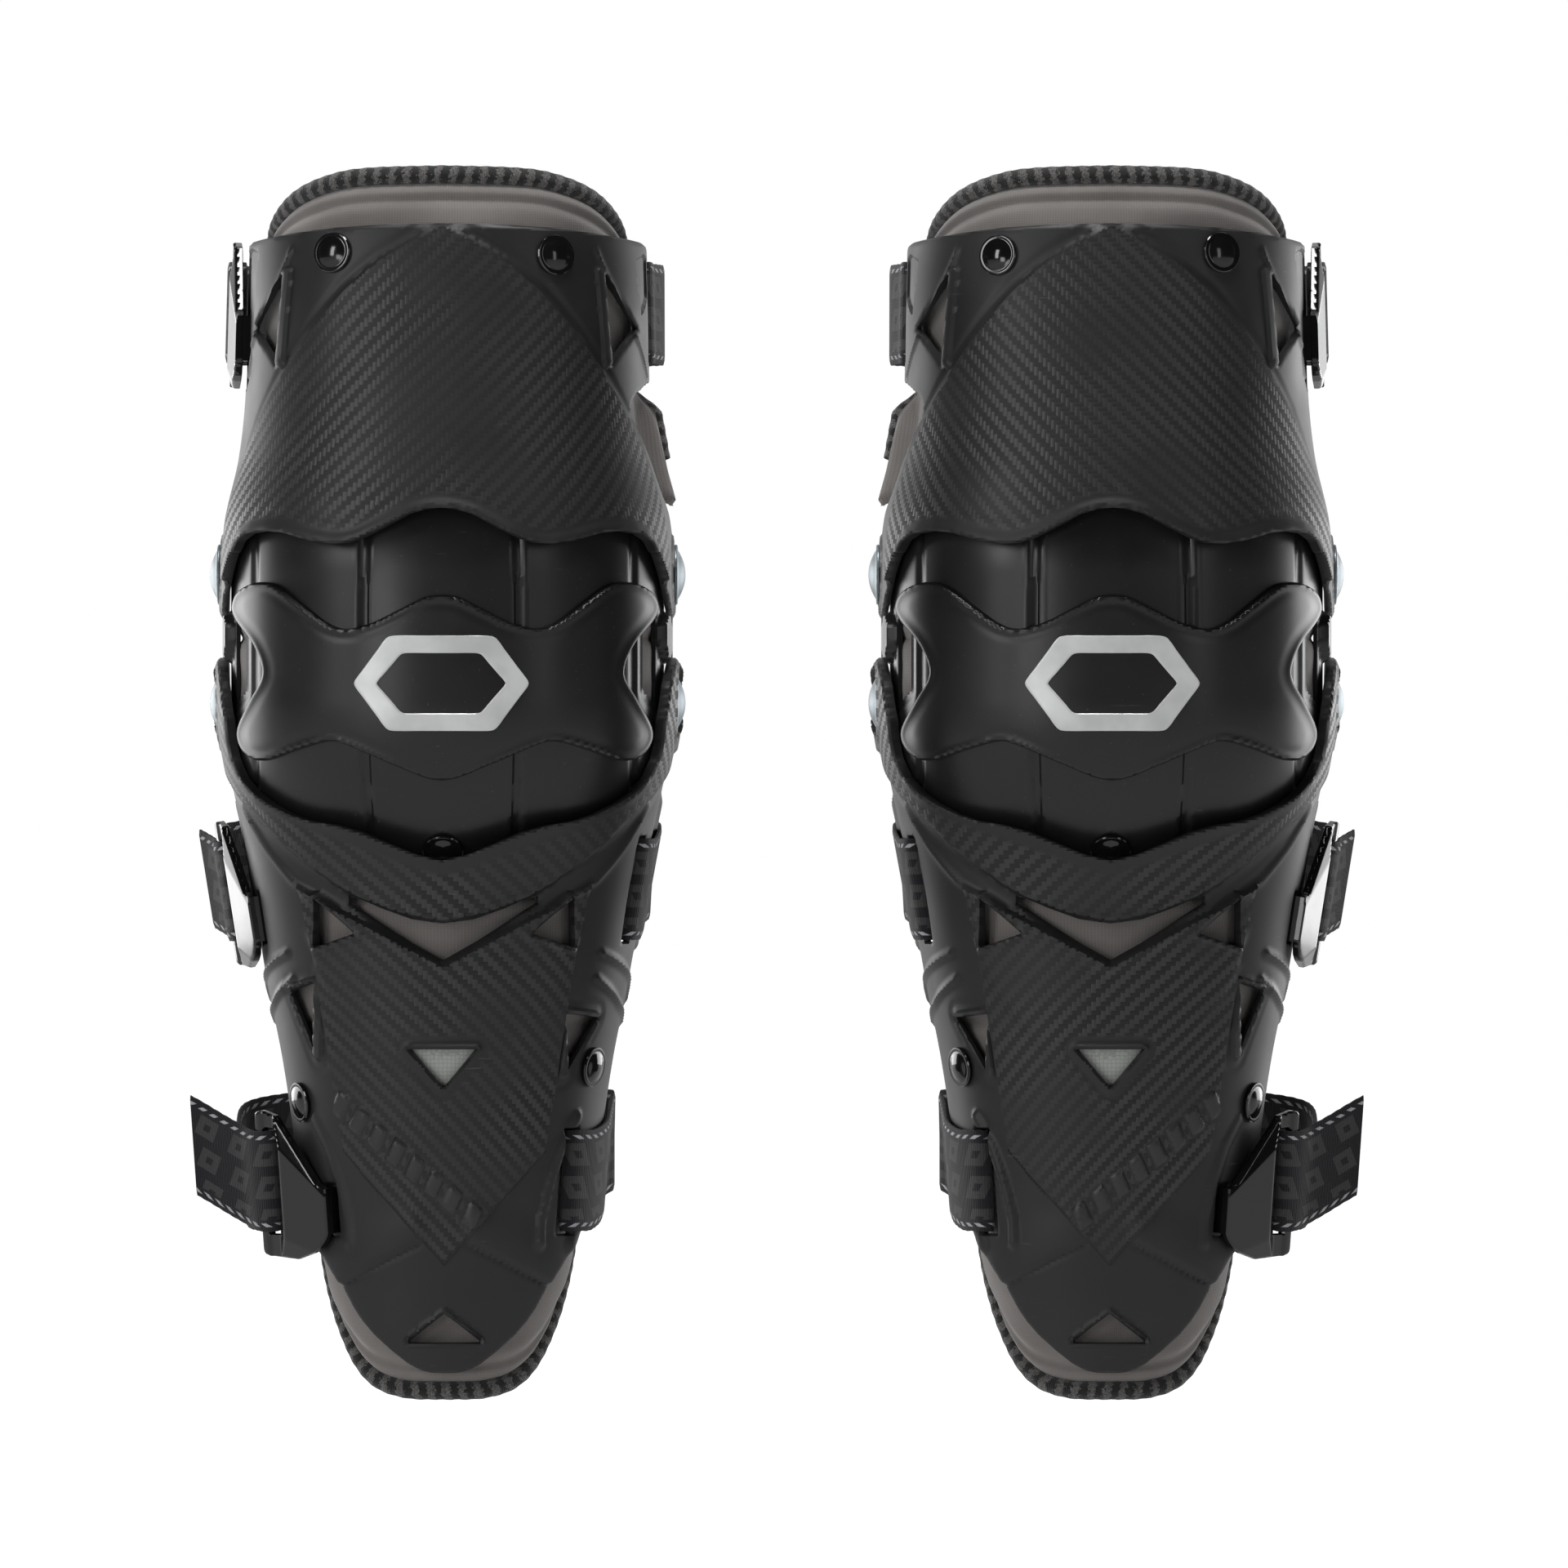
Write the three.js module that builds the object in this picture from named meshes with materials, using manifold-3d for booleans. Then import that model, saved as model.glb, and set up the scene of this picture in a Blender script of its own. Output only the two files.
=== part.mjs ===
// A pair of hinged knee guards for off-road motorcycling, upright and side by side as they are worn.
// Each guard is a shin shell, a knee cup and a thigh shell on two riveted hinges, with foam liners,
// striped edge bindings, and three elastic straps that clip to the outer side.
// Millimetres, +Z up, the fronts facing -Y. Everything is drawn once for the right guard, in its own
// frame: x across the leg with the outer side negative, y = 0 on the hinge axes, z = 0 at the toe.
import * as THREE from "three";
import { mergeVertices } from "three/addons/utils/BufferGeometryUtils.js";
import Module from "manifold-3d";

const wasm = await Module();
wasm.setup();

// Driving dimensions.
const GUARD_SPACING = 262; // between the two guards' middle planes
const LOWER_AXIS_Z = 277; // hinge of the shin shell and the knee cup
const UPPER_AXIS_Z = 328; // hinge of the knee cup and the thigh shell
const SECTION_POWER = 2.3; // 2 is an ellipse, larger is squarer
const SHELL = 2.6; // moulded wall
const CUP_HALF_WIDTH = 86;
const CUP_REACH = 86; // from the hinge axes to the front of the knee cup
const BAND = { lift: 0.5, thickness: 2.2 };
const EMBLEM = { lift: 0.3, thickness: 0.6 };
const LINER = { gap: 4.2, thickness: 8, kneeGap: 1.2 };
const BINDING_RADIUS = 4;
const REAR_RUN = 90; // straight wall length behind the widest point, per unit of turn
const RIVET = { shank: 3, hole: 3.4, cap: 12, capHeight: 4.2, washer: 7, washerHeight: 1.5 };
const SNAP = { shank: 2.4, hole: 2.9, cap: 8, capHeight: 2.6, washer: 4.5, washerHeight: 1.2 };
const SEAT = 0.35; // clearance under a fastener's cap and washer
const CURVED_SEAT = 0.6; // added for the washer on the inside of a curved wall
const STRAP = { width: 40, thickness: 2 };
const STRAP_SLOT = { width: 7.8, height: 42 };
const CLIP = { thickness: 2.8, lift: 1.4, length: 36, slotStart: 25.5, slotEnd: 31 };
const HOOK = { thickness: 2.4, inside: 2.2, slot: 6.8, low: -20.5, top: -2.5 };
const FAR = 200; // past any part, for cutters

// Where each strap sits: its height, the turn of its slot on the inner side and of its clip's pivot on
// the outer side, how wide it passes the leg, how far behind the hinge axes it runs and how much it
// rises on the way there.
const STRAPS = [
  { name: "thigh", z: 433, slot: 1.12, pivot: 0.92, halfWidth: 87, back: 76, rise: 0 },
  { name: "calf", z: 203, slot: 0.8, pivot: 0.83, halfWidth: 81, back: 66, rise: 8 },
  { name: "ankle", z: 88, slot: 0.57, pivot: 0.52, halfWidth: 67, back: 52, rise: 14 },
];
// Front x and z of the snaps.
const THIGH_SNAPS = { outer: [-43, 453], inner: [44, 452] };
const SHIN_SNAPS = { outer: [-57, 119], inner: [58, 133] };
const KNEE_SNAP = [0, 219];

// Inner faces of the two tapered shells: height, half width, and reach to the front.
const THIGH_STATIONS = [
  { z: 300, w: 87.2, reach: 89.5 },
  { z: 332, w: 87.2, reach: 90.2 },
  { z: 350, w: 85.8, reach: 89.6 },
  { z: 374, w: 80.4, reach: 86 },
  { z: 400, w: 77.6, reach: 81.5 },
  { z: 430, w: 77, reach: 77.5 },
  { z: 463, w: 76, reach: 72.5 },
  { z: 495, w: 74, reach: 68 },
];
const SHIN_STATIONS = [
  { z: -5, w: 42, reach: 38 },
  { z: 20, w: 46.5, reach: 41.5 },
  { z: 38, w: 51, reach: 44.5 },
  { z: 52, w: 54, reach: 46.5 },
  { z: 70, w: 56.5, reach: 49 },
  { z: 103, w: 58.5, reach: 53.5 },
  { z: 135, w: 63, reach: 57 },
  { z: 167, w: 69.3, reach: 59.5 },
  { z: 200, w: 74.6, reach: 63 },
  { z: 215, w: 77, reach: 67 },
  { z: 228, w: 79.4, reach: 72.6 },
  { z: 240, w: 82, reach: 77.5 },
  { z: 255, w: 85.2, reach: 84 },
  { z: 270, w: 87.2, reach: 88 },
  { z: 300, w: 87.2, reach: 89.5 },
];

// Lower and upper edge of the liners at each turn.
const THIGH_LINER = [
  { turn: 0, low: 398, top: 480.5 },
  { turn: 0.3, low: 398, top: 479.5 },
  { turn: 0.45, low: 396, top: 477 },
  { turn: 0.6, low: 392, top: 473 },
  { turn: 0.75, low: 384, top: 467 },
  { turn: 0.95, low: 370, top: 457 },
  { turn: 1.1, low: 361, top: 444 },
  { turn: 1.2, low: 358, top: 422 },
  { turn: 1.27, low: 356, top: 374 },
];
const KNEE_LINER = [
  { turn: 0, low: 232, top: 372 },
  { turn: 0.8, low: 232, top: 372 },
  { turn: 0.9, low: 286, top: 318 },
  { turn: 1.04, low: 289, top: 315 },
];
const SHIN_LINER = [
  { turn: 0, low: 8.4, top: 200 },
  { turn: 0.25, low: 9, top: 200 },
  { turn: 0.5, low: 13.5, top: 203 },
  { turn: 0.72, low: 25, top: 215 },
  { turn: 0.87, low: 42, top: 227 },
  { turn: 0.98, low: 70, top: 234 },
  { turn: 1.12, low: 124, top: 238 },
  { turn: 1.27, low: 212, top: 236 },
];

// ---- Sections ----

// A smooth value of a key of the stations, at a place along them.
function smooth(stations, along, at, key) {
  const last = stations.length - 1;
  let i = 0;
  while (i < last - 1 && at > stations[i + 1][along]) i++;
  const a = stations[i];
  const b = stations[i + 1];
  const before = stations[Math.max(i - 1, 0)];
  const after = stations[Math.min(i + 2, last)];
  const span = b[along] - a[along];
  const t = THREE.MathUtils.clamp((at - a[along]) / span, 0, 1);
  const slopeA = ((b[key] - before[key]) / (b[along] - before[along])) * span;
  const slopeB = ((after[key] - a[key]) / (after[along] - a[along])) * span;
  return (
    a[key] * (1 + 2 * t) * (1 - t) ** 2 +
    slopeA * t * (1 - t) ** 2 +
    b[key] * t * t * (3 - 2 * t) -
    slopeB * t * t * (1 - t)
  );
}

const tapered = (stations) => (z, offset) => ({
  w: smooth(stations, "z", z, "w") + offset,
  reach: smooth(stations, "z", z, "reach") + offset,
});
const thighSection = tapered(THIGH_STATIONS);
const shinSection = tapered(SHIN_STATIONS);

// The knee cup turns on both hinges, so it is round about both axes and straight between them.
function kneeSection(z, offset) {
  const beyond = Math.max(z - UPPER_AXIS_Z, LOWER_AXIS_Z - z, 0);
  const reach = CUP_REACH + offset;
  const share = Math.min(beyond / reach, 0.999);
  return {
    w: (CUP_HALF_WIDTH + offset) * (1 - share ** SECTION_POWER) ** (1 / SECTION_POWER),
    reach: reach * Math.sqrt(1 - share * share),
  };
}

// A point of a section. Turn is 0 at the front and 1 or -1 at the widest place, then runs straight back.
function onSection({ w, reach }, turn, z) {
  const angle = Math.min(Math.abs(turn), 1) * (Math.PI / 2);
  const back = Math.max(Math.abs(turn) - 1, 0) * REAR_RUN;
  const x = Math.sign(turn) * w * Math.sin(angle) ** (2 / SECTION_POWER);
  const cosine = Math.max(Math.cos(angle), 0);
  return new THREE.Vector3(x, back - reach * cosine ** (2 / SECTION_POWER), z);
}

// The turn at which a section crosses x.
function turnAt({ w }, x) {
  const share = Math.min(Math.abs(x) / w, 1) ** (SECTION_POWER / 2);
  return (Math.sign(x) * Math.asin(share)) / (Math.PI / 2);
}

// A point of an offset surface with its level tangent towards larger turns, its outward normal, and the
// direction up the surface.
function frameAt(section, turn, z, offset) {
  const step = 0.004;
  const here = section(z, offset);
  const tangent = onSection(here, turn + step, z).sub(onSection(here, turn - step, z)).normalize();
  const rise = onSection(section(z + 1, offset), turn, z + 1).sub(
    onSection(section(z - 1, offset), turn, z - 1),
  );
  const normal = tangent.clone().cross(rise).normalize();
  const up = normal.clone().cross(tangent);
  return { point: onSection(here, turn, z), tangent, normal, up };
}

function frameInFront(section, [x, z], offset) {
  return frameAt(section, turnAt(section(z, offset), x), z, offset);
}

// ---- Solids ----

function solidOf(geometry) {
  const bare = geometry.clone();
  bare.deleteAttribute("normal");
  bare.deleteAttribute("uv");
  const merged = mergeVertices(bare, 1e-4);
  return new wasm.Manifold(
    new wasm.Mesh({
      numProp: 3,
      vertProperties: new Float32Array(merged.attributes.position.array),
      triVerts: new Uint32Array(merged.index.array),
    }),
  );
}

function geometryOf(solid) {
  const mesh = solid.getMesh();
  const geometry = new THREE.BufferGeometry();
  geometry.setAttribute("position", new THREE.BufferAttribute(mesh.vertProperties, 3));
  geometry.setIndex(new THREE.BufferAttribute(mesh.triVerts, 1));
  geometry.computeVertexNormals();
  return geometry;
}

const cut = (solid, ...tools) => tools.reduce((left, tool) => left.subtract(tool), solid);
const keep = (solid, ...tools) => tools.reduce((left, tool) => left.intersect(tool), solid);
const steps = (low, high, count) =>
  Array.from({ length: count + 1 }, (_, i) => THREE.MathUtils.lerp(low, high, i / count));

// A closed skin between two offsets of a section. Its height runs from low(turn) to top(turn).
function skin(section, { inner, outer, turn, across, rows, low, top }) {
  const columns = across + 1;
  const layer = columns * rows.length;
  const positions = [];
  for (const offset of [outer, inner])
    for (const row of rows)
      for (const at of steps(-turn, turn, across)) {
        const z = THREE.MathUtils.lerp(low(Math.abs(at)), top(Math.abs(at)), row);
        positions.push(...onSection(section(z, offset), at, z).toArray());
      }
  const index = [];
  const quad = (a, b, c, d) => index.push(a, b, c, a, c, d);
  const at = (side, row, column) => side * layer + row * columns + column;
  const last = rows.length - 1;
  for (let row = 0; row < last; row++)
    for (let i = 0; i < across; i++) {
      quad(at(0, row, i), at(0, row, i + 1), at(0, row + 1, i + 1), at(0, row + 1, i));
      quad(at(1, row, i), at(1, row + 1, i), at(1, row + 1, i + 1), at(1, row, i + 1));
    }
  for (let i = 0; i < across; i++) {
    quad(at(0, 0, i), at(1, 0, i), at(1, 0, i + 1), at(0, 0, i + 1));
    quad(at(0, last, i), at(0, last, i + 1), at(1, last, i + 1), at(1, last, i));
  }
  for (let row = 0; row < last; row++) {
    quad(at(0, row, 0), at(0, row + 1, 0), at(1, row + 1, 0), at(1, row, 0));
    quad(at(0, row, across), at(1, row, across), at(1, row + 1, across), at(0, row + 1, across));
  }
  const geometry = new THREE.BufferGeometry();
  geometry.setAttribute("position", new THREE.Float32BufferAttribute(positions, 3));
  geometry.setIndex(index);
  return solidOf(geometry);
}

// A skin whose rows stand at fixed heights.
function levelSkin(section, heights, sizes) {
  const low = heights[0];
  const top = heights.at(-1);
  const rows = heights.map((z) => (z - low) / (top - low));
  return skin(section, { ...sizes, rows, low: () => low, top: () => top });
}

const shapeOf = (points) => new THREE.Shape(points.map(([a, b]) => new THREE.Vector2(a, b)));
const prism = (points, depth) =>
  new THREE.ExtrudeGeometry(shapeOf(points), { depth, bevelEnabled: false });

// A cutter whose outline is seen from the front, as x and z points. It ends on the hinge plane or behind.
const frontPrism = (points, behind = 0) =>
  solidOf(prism(points, FAR + behind).rotateX(Math.PI / 2).translate(0, behind, 0));

// A cutter whose outline is seen from the side, as y and z points, between two x.
function sidePrism(points, xLow = -FAR, xHigh = FAR) {
  const toSide = new THREE.Matrix4().set(0, 0, 1, xLow, 1, 0, 0, 0, 0, 1, 0, 0, 0, 0, 0, 1);
  return solidOf(prism(points, xHigh - xLow).applyMatrix4(toSide));
}

// An outline that is the same on both sides, from its points with x >= 0.
const bothSides = (points) => [
  ...points,
  ...points
    .filter(([x]) => x > 0)
    .reverse()
    .map(([x, z]) => [-x, z]),
];
const otherSide = (points) => points.map(([x, z]) => [-x, z]).reverse();

function rod(radius, from, to, sides) {
  const axis = new THREE.Vector3().subVectors(to, from);
  const geometry = new THREE.CylinderGeometry(radius, radius, axis.length(), sides);
  const up = new THREE.Vector3(0, 1, 0);
  geometry.applyQuaternion(new THREE.Quaternion().setFromUnitVectors(up, axis.clone().normalize()));
  const middle = from.clone().add(to).multiplyScalar(0.5);
  return solidOf(geometry.translate(middle.x, middle.y, middle.z));
}

const hingeHole = (z) =>
  rod(RIVET.hole, new THREE.Vector3(-FAR, 0, z), new THREE.Vector3(FAR, 0, z), 12);

function snapHole({ point, normal }) {
  const reach = normal.clone().multiplyScalar(10);
  return rod(SNAP.hole, point.clone().sub(reach), point.clone().add(reach), 8);
}

// Lays a shape drawn in the x, y plane on a surface: x runs to the rear, y up it and z out of it.
function laidOn({ point, tangent, normal, up }, geometry) {
  return geometry.applyMatrix4(new THREE.Matrix4().makeBasis(tangent, up, normal).setPosition(point));
}

function slotOn(frame, width, height, above = 0) {
  return solidOf(laidOn(frame, new THREE.BoxGeometry(width, height, 20).translate(0, above, 0)));
}

const mirrored = (solid) => solid.mirror([1, 0, 0]);

// A domed fastener standing along +Y on a wall whose outer face is at y = 0.
function fastener({ shank, cap, capHeight, washer, washerHeight }, grip, sides) {
  const profile = [
    [0, -grip - SEAT - washerHeight],
    [washer, -grip - SEAT - washerHeight],
    [washer, -grip - SEAT],
    [shank, -grip - SEAT],
    [shank, SEAT],
    [cap, SEAT],
    [cap * 0.8, SEAT + capHeight * 0.75],
    [0, SEAT + capHeight],
  ];
  return new THREE.LatheGeometry(
    profile.map(([r, y]) => new THREE.Vector2(r, y)),
    sides,
  );
}

function place(geometry, { point, normal }) {
  const up = new THREE.Vector3(0, 1, 0);
  geometry.applyQuaternion(new THREE.Quaternion().setFromUnitVectors(up, normal));
  return geometry.translate(point.x, point.y, point.z);
}

// A band of webbing on edge. The path gives the points of its middle line at a share of its height,
// from -1 at the lower edge to 1 at the upper edge.
function webbing(path, samples) {
  const half = STRAP.thickness / 2;
  const ring = [];
  for (const share of [-1, 1]) {
    const curve = new THREE.CatmullRomCurve3(path(share), false, "centripetal");
    for (const side of [half, -half])
      for (let i = 0; i <= samples; i++) {
        const p = curve.getPoint(i / samples);
        const t = curve.getTangent(i / samples);
        ring.push(p.x + t.y * side, p.y - t.x * side, p.z);
      }
  }
  const index = [];
  const quad = (a, b, c, d) => index.push(a, b, c, a, c, d);
  const row = samples + 1;
  for (let i = 0; i < samples; i++) {
    quad(i, i + 1, i + 1 + 2 * row, i + 2 * row);
    quad(i + row, i + 3 * row, i + 1 + 3 * row, i + 1 + row);
    quad(i, i + row, i + 1 + row, i + 1);
    quad(i + 2 * row, i + 1 + 2 * row, i + 1 + 3 * row, i + 3 * row);
  }
  quad(0, 2 * row, 3 * row, row);
  quad(samples, samples + row, samples + 3 * row, samples + 2 * row);
  const geometry = new THREE.BufferGeometry();
  geometry.setAttribute("position", new THREE.Float32BufferAttribute(ring, 3));
  geometry.setIndex(index);
  return solidOf(geometry);
}

// ---- Materials ----

const plain = (color, roughness) =>
  new THREE.MeshStandardMaterial({ color, roughness, metalness: 0 });
const MATERIAL = {
  shell: plain(0x2b2b2b, 0.55),
  cup: plain(0x1c1c1c, 0.4),
  gloss: plain(0x080808, 0.12),
  fabric: plain(0x6b6663, 0.95),
  binding: plain(0x3a3a3a, 0.95),
  webbing: plain(0x24242a, 0.95),
  print: plain(0xd9d9d9, 0.45),
  reflector: plain(0x9a9d98, 0.4),
  rivet: new THREE.MeshStandardMaterial({ color: 0xc3ccce, roughness: 0.3, metalness: 0.9 }),
};

const pieces = [];
function add(name, shape, material) {
  pieces.push({ name, geometry: shape.isBufferGeometry ? shape : geometryOf(shape), material });
}

// ---- Straps and their clips ----

const strapSlot = (section, strap) =>
  slotOn(frameAt(section, strap.slot, strap.z, 0), STRAP_SLOT.width, STRAP_SLOT.height);
const clipFrame = (section, strap) => frameAt(section, strap.pivot, strap.z, SHELL / 2);
const hookMiddle = (HOOK.low + HOOK.top) / 2;
const clipSlot = (section, strap) =>
  mirrored(slotOn(clipFrame(section, strap), HOOK.slot, HOOK.top - HOOK.low + 3, hookMiddle));

// A plate swept down to a hook at its front edge, which turns in the shell's slot. The webbing goes
// through the window at its rear.
function clip(section, strap) {
  const near = SHELL / 2 + CLIP.lift;
  const tall = STRAP.width / 2;
  const outline = [
    [-HOOK.thickness / 2, HOOK.low],
    [3, -tall - 6],
    [17, -tall - 11],
    [CLIP.length - 4, -tall - 10],
    [CLIP.length, -tall - 6],
    [CLIP.length, tall + 5],
    [CLIP.length - 4, tall + 8],
    [CLIP.slotStart - 1, tall + 6],
    [CLIP.slotStart - 5, tall + 1],
    [3, HOOK.top + 2],
    [-HOOK.thickness / 2, HOOK.top],
  ];
  const plate = prism(outline, CLIP.thickness).translate(0, 0, near);
  const low = -SHELL / 2 - HOOK.inside;
  const hook = new THREE.BoxGeometry(HOOK.thickness, HOOK.top - HOOK.low, near + 1 - low);
  hook.translate(0, hookMiddle, (near + 1 + low) / 2);
  const window = new THREE.BoxGeometry(CLIP.slotEnd - CLIP.slotStart, STRAP.width + 2, 20);
  window.translate((CLIP.slotEnd + CLIP.slotStart) / 2, 0, near);
  const frame = clipFrame(section, strap);
  const [body, foot, gap] = [plate, hook, window].map((part) => solidOf(laidOn(frame, part)));
  return mirrored(body.add(foot).subtract(gap));
}

// A point s along a clip's plate and n out of it, at a share of the strap's height.
function beside({ point, tangent, normal, up }, s, n, share) {
  return point
    .clone()
    .addScaledVector(tangent, s)
    .addScaledVector(normal, n)
    .addScaledVector(up, (share * STRAP.width) / 2);
}

// The folded end of the strap, sewn round the rear bar of the clip.
function strapLoop(section, strap) {
  const frame = clipFrame(section, strap);
  const inside = SHELL / 2 + CLIP.lift - 1.7;
  const outside = SHELL / 2 + CLIP.lift + CLIP.thickness + 1.7;
  const path = (share) =>
    [
      [CLIP.length + 8, inside],
      [CLIP.length - 1, inside],
      [CLIP.slotStart + 3.2, inside + 1.2],
      [CLIP.slotStart + 2.2, (inside + outside) / 2],
      [CLIP.slotStart + 3.2, outside - 1.2],
      [CLIP.length - 1, outside],
      [CLIP.length + 8, inside + 2.8],
    ].map(([s, n]) => beside(frame, s, n, share));
  return mirrored(webbing(path, 10));
}

// From its tail inside the inner wing, out through the slot, round the leg to the loop of the clip.
function strapBand(section, strap) {
  const out = SHELL + 1.8;
  const frame = clipFrame(section, strap);
  const path = (share) => {
    const z = strap.z + (share * STRAP.width) / 2;
    const along = (mm, offset) => {
      const size = section(z, offset);
      const start = onSection(size, strap.slot, z);
      const perTurn = onSection(size, strap.slot + 0.01, z).distanceTo(start) / 0.01;
      return onSection(size, strap.slot + mm / perTurn, z);
    };
    const turns = [0.85, 0.95, 1.05, 1.3].filter((turn) => turn > strap.slot + 0.2 || turn > 1.2);
    const flank = turns.map((turn) => {
      const higher = z + strap.rise * THREE.MathUtils.smoothstep(turn, strap.slot + 0.1, 1.5);
      return onSection(section(higher, out), turn, higher);
    });
    const end = beside(frame, CLIP.length + 10, SHELL / 2 + CLIP.lift - 1, share);
    const behind = (x, y, rise = strap.rise) => new THREE.Vector3(x, y, z + rise);
    const { halfWidth, back } = strap;
    return [
      along(19, -2.1),
      along(7, -2.1),
      along(1.6, -1),
      along(0, SHELL / 2),
      along(1.6, SHELL + 1),
      along(7, out),
      along(14, out),
      ...flank,
      behind(halfWidth * 0.97, back * 0.62),
      behind(halfWidth * 0.72, back * 0.87),
      behind(0, back),
      behind(-halfWidth * 0.72, back * 0.87),
      behind(-Math.max(end.x, halfWidth * 0.95), Math.max(end.y + 8, back * 0.6), strap.rise * 0.7),
      end.multiply(new THREE.Vector3(-1, 1, 1)),
    ];
  };
  return webbing(path, 39);
}

// ---- Thigh shell and what is on it ----

const [THIGH_STRAP, ...SHIN_STRAPS] = STRAPS;

function thighShell() {
  const whole = levelSkin(thighSection, steps(308, 466, 7), {
    inner: 0,
    outer: SHELL,
    turn: 1.36,
    across: 20,
  });
  const front = frontPrism(
    bothSides([
      [0, 352.5],
      [22, 347],
      [36, 338],
      [50, 340],
      [66, 344],
      [76, 342],
      [81, 335],
      [81, 300],
      [98, 300],
      [98, 459],
      [78, 459],
      [40, 463],
      [0, 463.5],
    ]),
    FAR,
  );
  // The rear edge from the arm round the hinge up to the wing that takes the strap. On the inner side
  // it is cut back between them.
  const side = (between) => [
    [-FAR, 336],
    [-40, 336],
    [-26, 322],
    [-14, 313],
    [0, 310],
    [12, 314.5],
    [17.5, 326],
    [14, 341],
    ...between,
    [28, 405],
    [29, 457],
    [12, 464],
    [-20, 500],
    [-FAR, 500],
  ];
  const outerSide = side([
    [12, 366],
    [17, 392],
  ]);
  const innerSide = side([
    [2, 352],
    [-16, 359.5],
    [-22, 370.5],
    [-30, 379],
    [-36, 385],
    [-40.5, 391],
    [-38, 395],
    [-33, 398.5],
    [-20, 402],
    [0, 404.5],
  ]);
  const sides = sidePrism(outerSide, -FAR, 0).add(sidePrism(innerSide, 0, FAR));
  const vent = [
    [61, 446],
    [64, 410],
    [74, 425],
  ];
  return cut(
    keep(whole, front, sides),
    frontPrism(vent),
    frontPrism(otherSide(vent)),
    hingeHole(UPPER_AXIS_Z),
    strapSlot(thighSection, THIGH_STRAP),
    clipSlot(thighSection, THIGH_STRAP),
    ...Object.values(THIGH_SNAPS).map((at) => snapHole(frameInFront(thighSection, at, SHELL))),
  );
}

// ---- Knee cup, band and emblem ----

// Heights that follow the round ends of the knee cup evenly.
function kneeHeights(low, high) {
  const below = Math.asin((LOWER_AXIS_Z - low) / CUP_REACH);
  const above = Math.asin((high - UPPER_AXIS_Z) / CUP_REACH);
  return [
    ...steps(-below, 0, 4).map((angle) => LOWER_AXIS_Z + CUP_REACH * Math.sin(angle)),
    ...steps(0, above, 4).map((angle) => UPPER_AXIS_Z + CUP_REACH * Math.sin(angle)),
  ];
}

function kneeCup() {
  const whole = levelSkin(kneeSection, kneeHeights(206, 390), {
    inner: -SHELL,
    outer: 0,
    turn: 1.24,
    across: 20,
  });
  const side = sidePrism([
    [-FAR, 204],
    [-46, 204],
    [-40, 222],
    [-30, 240],
    [-16, 255],
    [0, 257],
    [14, 263],
    [19.5, 277],
    [19.5, 328],
    [14, 342],
    [0, 348],
    [-16, 352],
    [-34, 374],
    [-50, 392],
    [-FAR, 392],
  ]);
  const window = sidePrism([
    [-42, 282],
    [-25, 275],
    [-25, 311],
    [-42, 304],
  ]);
  return cut(
    keep(whole, side),
    window,
    hingeHole(LOWER_AXIS_Z),
    hingeHole(UPPER_AXIS_Z),
    snapHole(frameInFront(kneeSection, KNEE_SNAP, 0)),
  );
}

function kneeBand() {
  const whole = levelSkin(kneeSection, [...steps(242, LOWER_AXIS_Z, 4), 303, 328], {
    inner: BAND.lift,
    outer: BAND.lift + BAND.thickness,
    turn: 0.9,
    across: 16,
  });
  const outline = bothSides([
    [0, 246],
    [38, 260.5],
    [72, 254],
    [79, 260],
    [80.5, 268],
    [69, 288],
    [82.5, 312],
    [81, 319],
    [72, 324],
    [37, 305.5],
    [0, 318.5],
  ]);
  return keep(whole, frontPrism(outline));
}

// A plain ring of six sides stands for the printed mark.
function kneeEmblem() {
  const lift = BAND.lift + BAND.thickness + EMBLEM.lift;
  const whole = levelSkin(kneeSection, [262, 270, LOWER_AXIS_Z, 312], {
    inner: lift,
    outer: lift + EMBLEM.thickness,
    turn: 0.5,
    across: 10,
  });
  const hexagon = (halfWidth, halfHeight) =>
    [
      [-1, 0],
      [-0.6, -1],
      [0.6, -1],
      [1, 0],
      [0.6, 1],
      [-0.6, 1],
    ].map(([x, z]) => [x * halfWidth, 284 + z * halfHeight]);
  return cut(keep(whole, frontPrism(hexagon(34, 19))), frontPrism(hexagon(25, 12)));
}

// ---- Shin shell ----

const REFLECTOR_HOLE = [
  [0, 125.5],
  [12.5, 140.5],
  [-12.5, 140.5],
];

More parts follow.
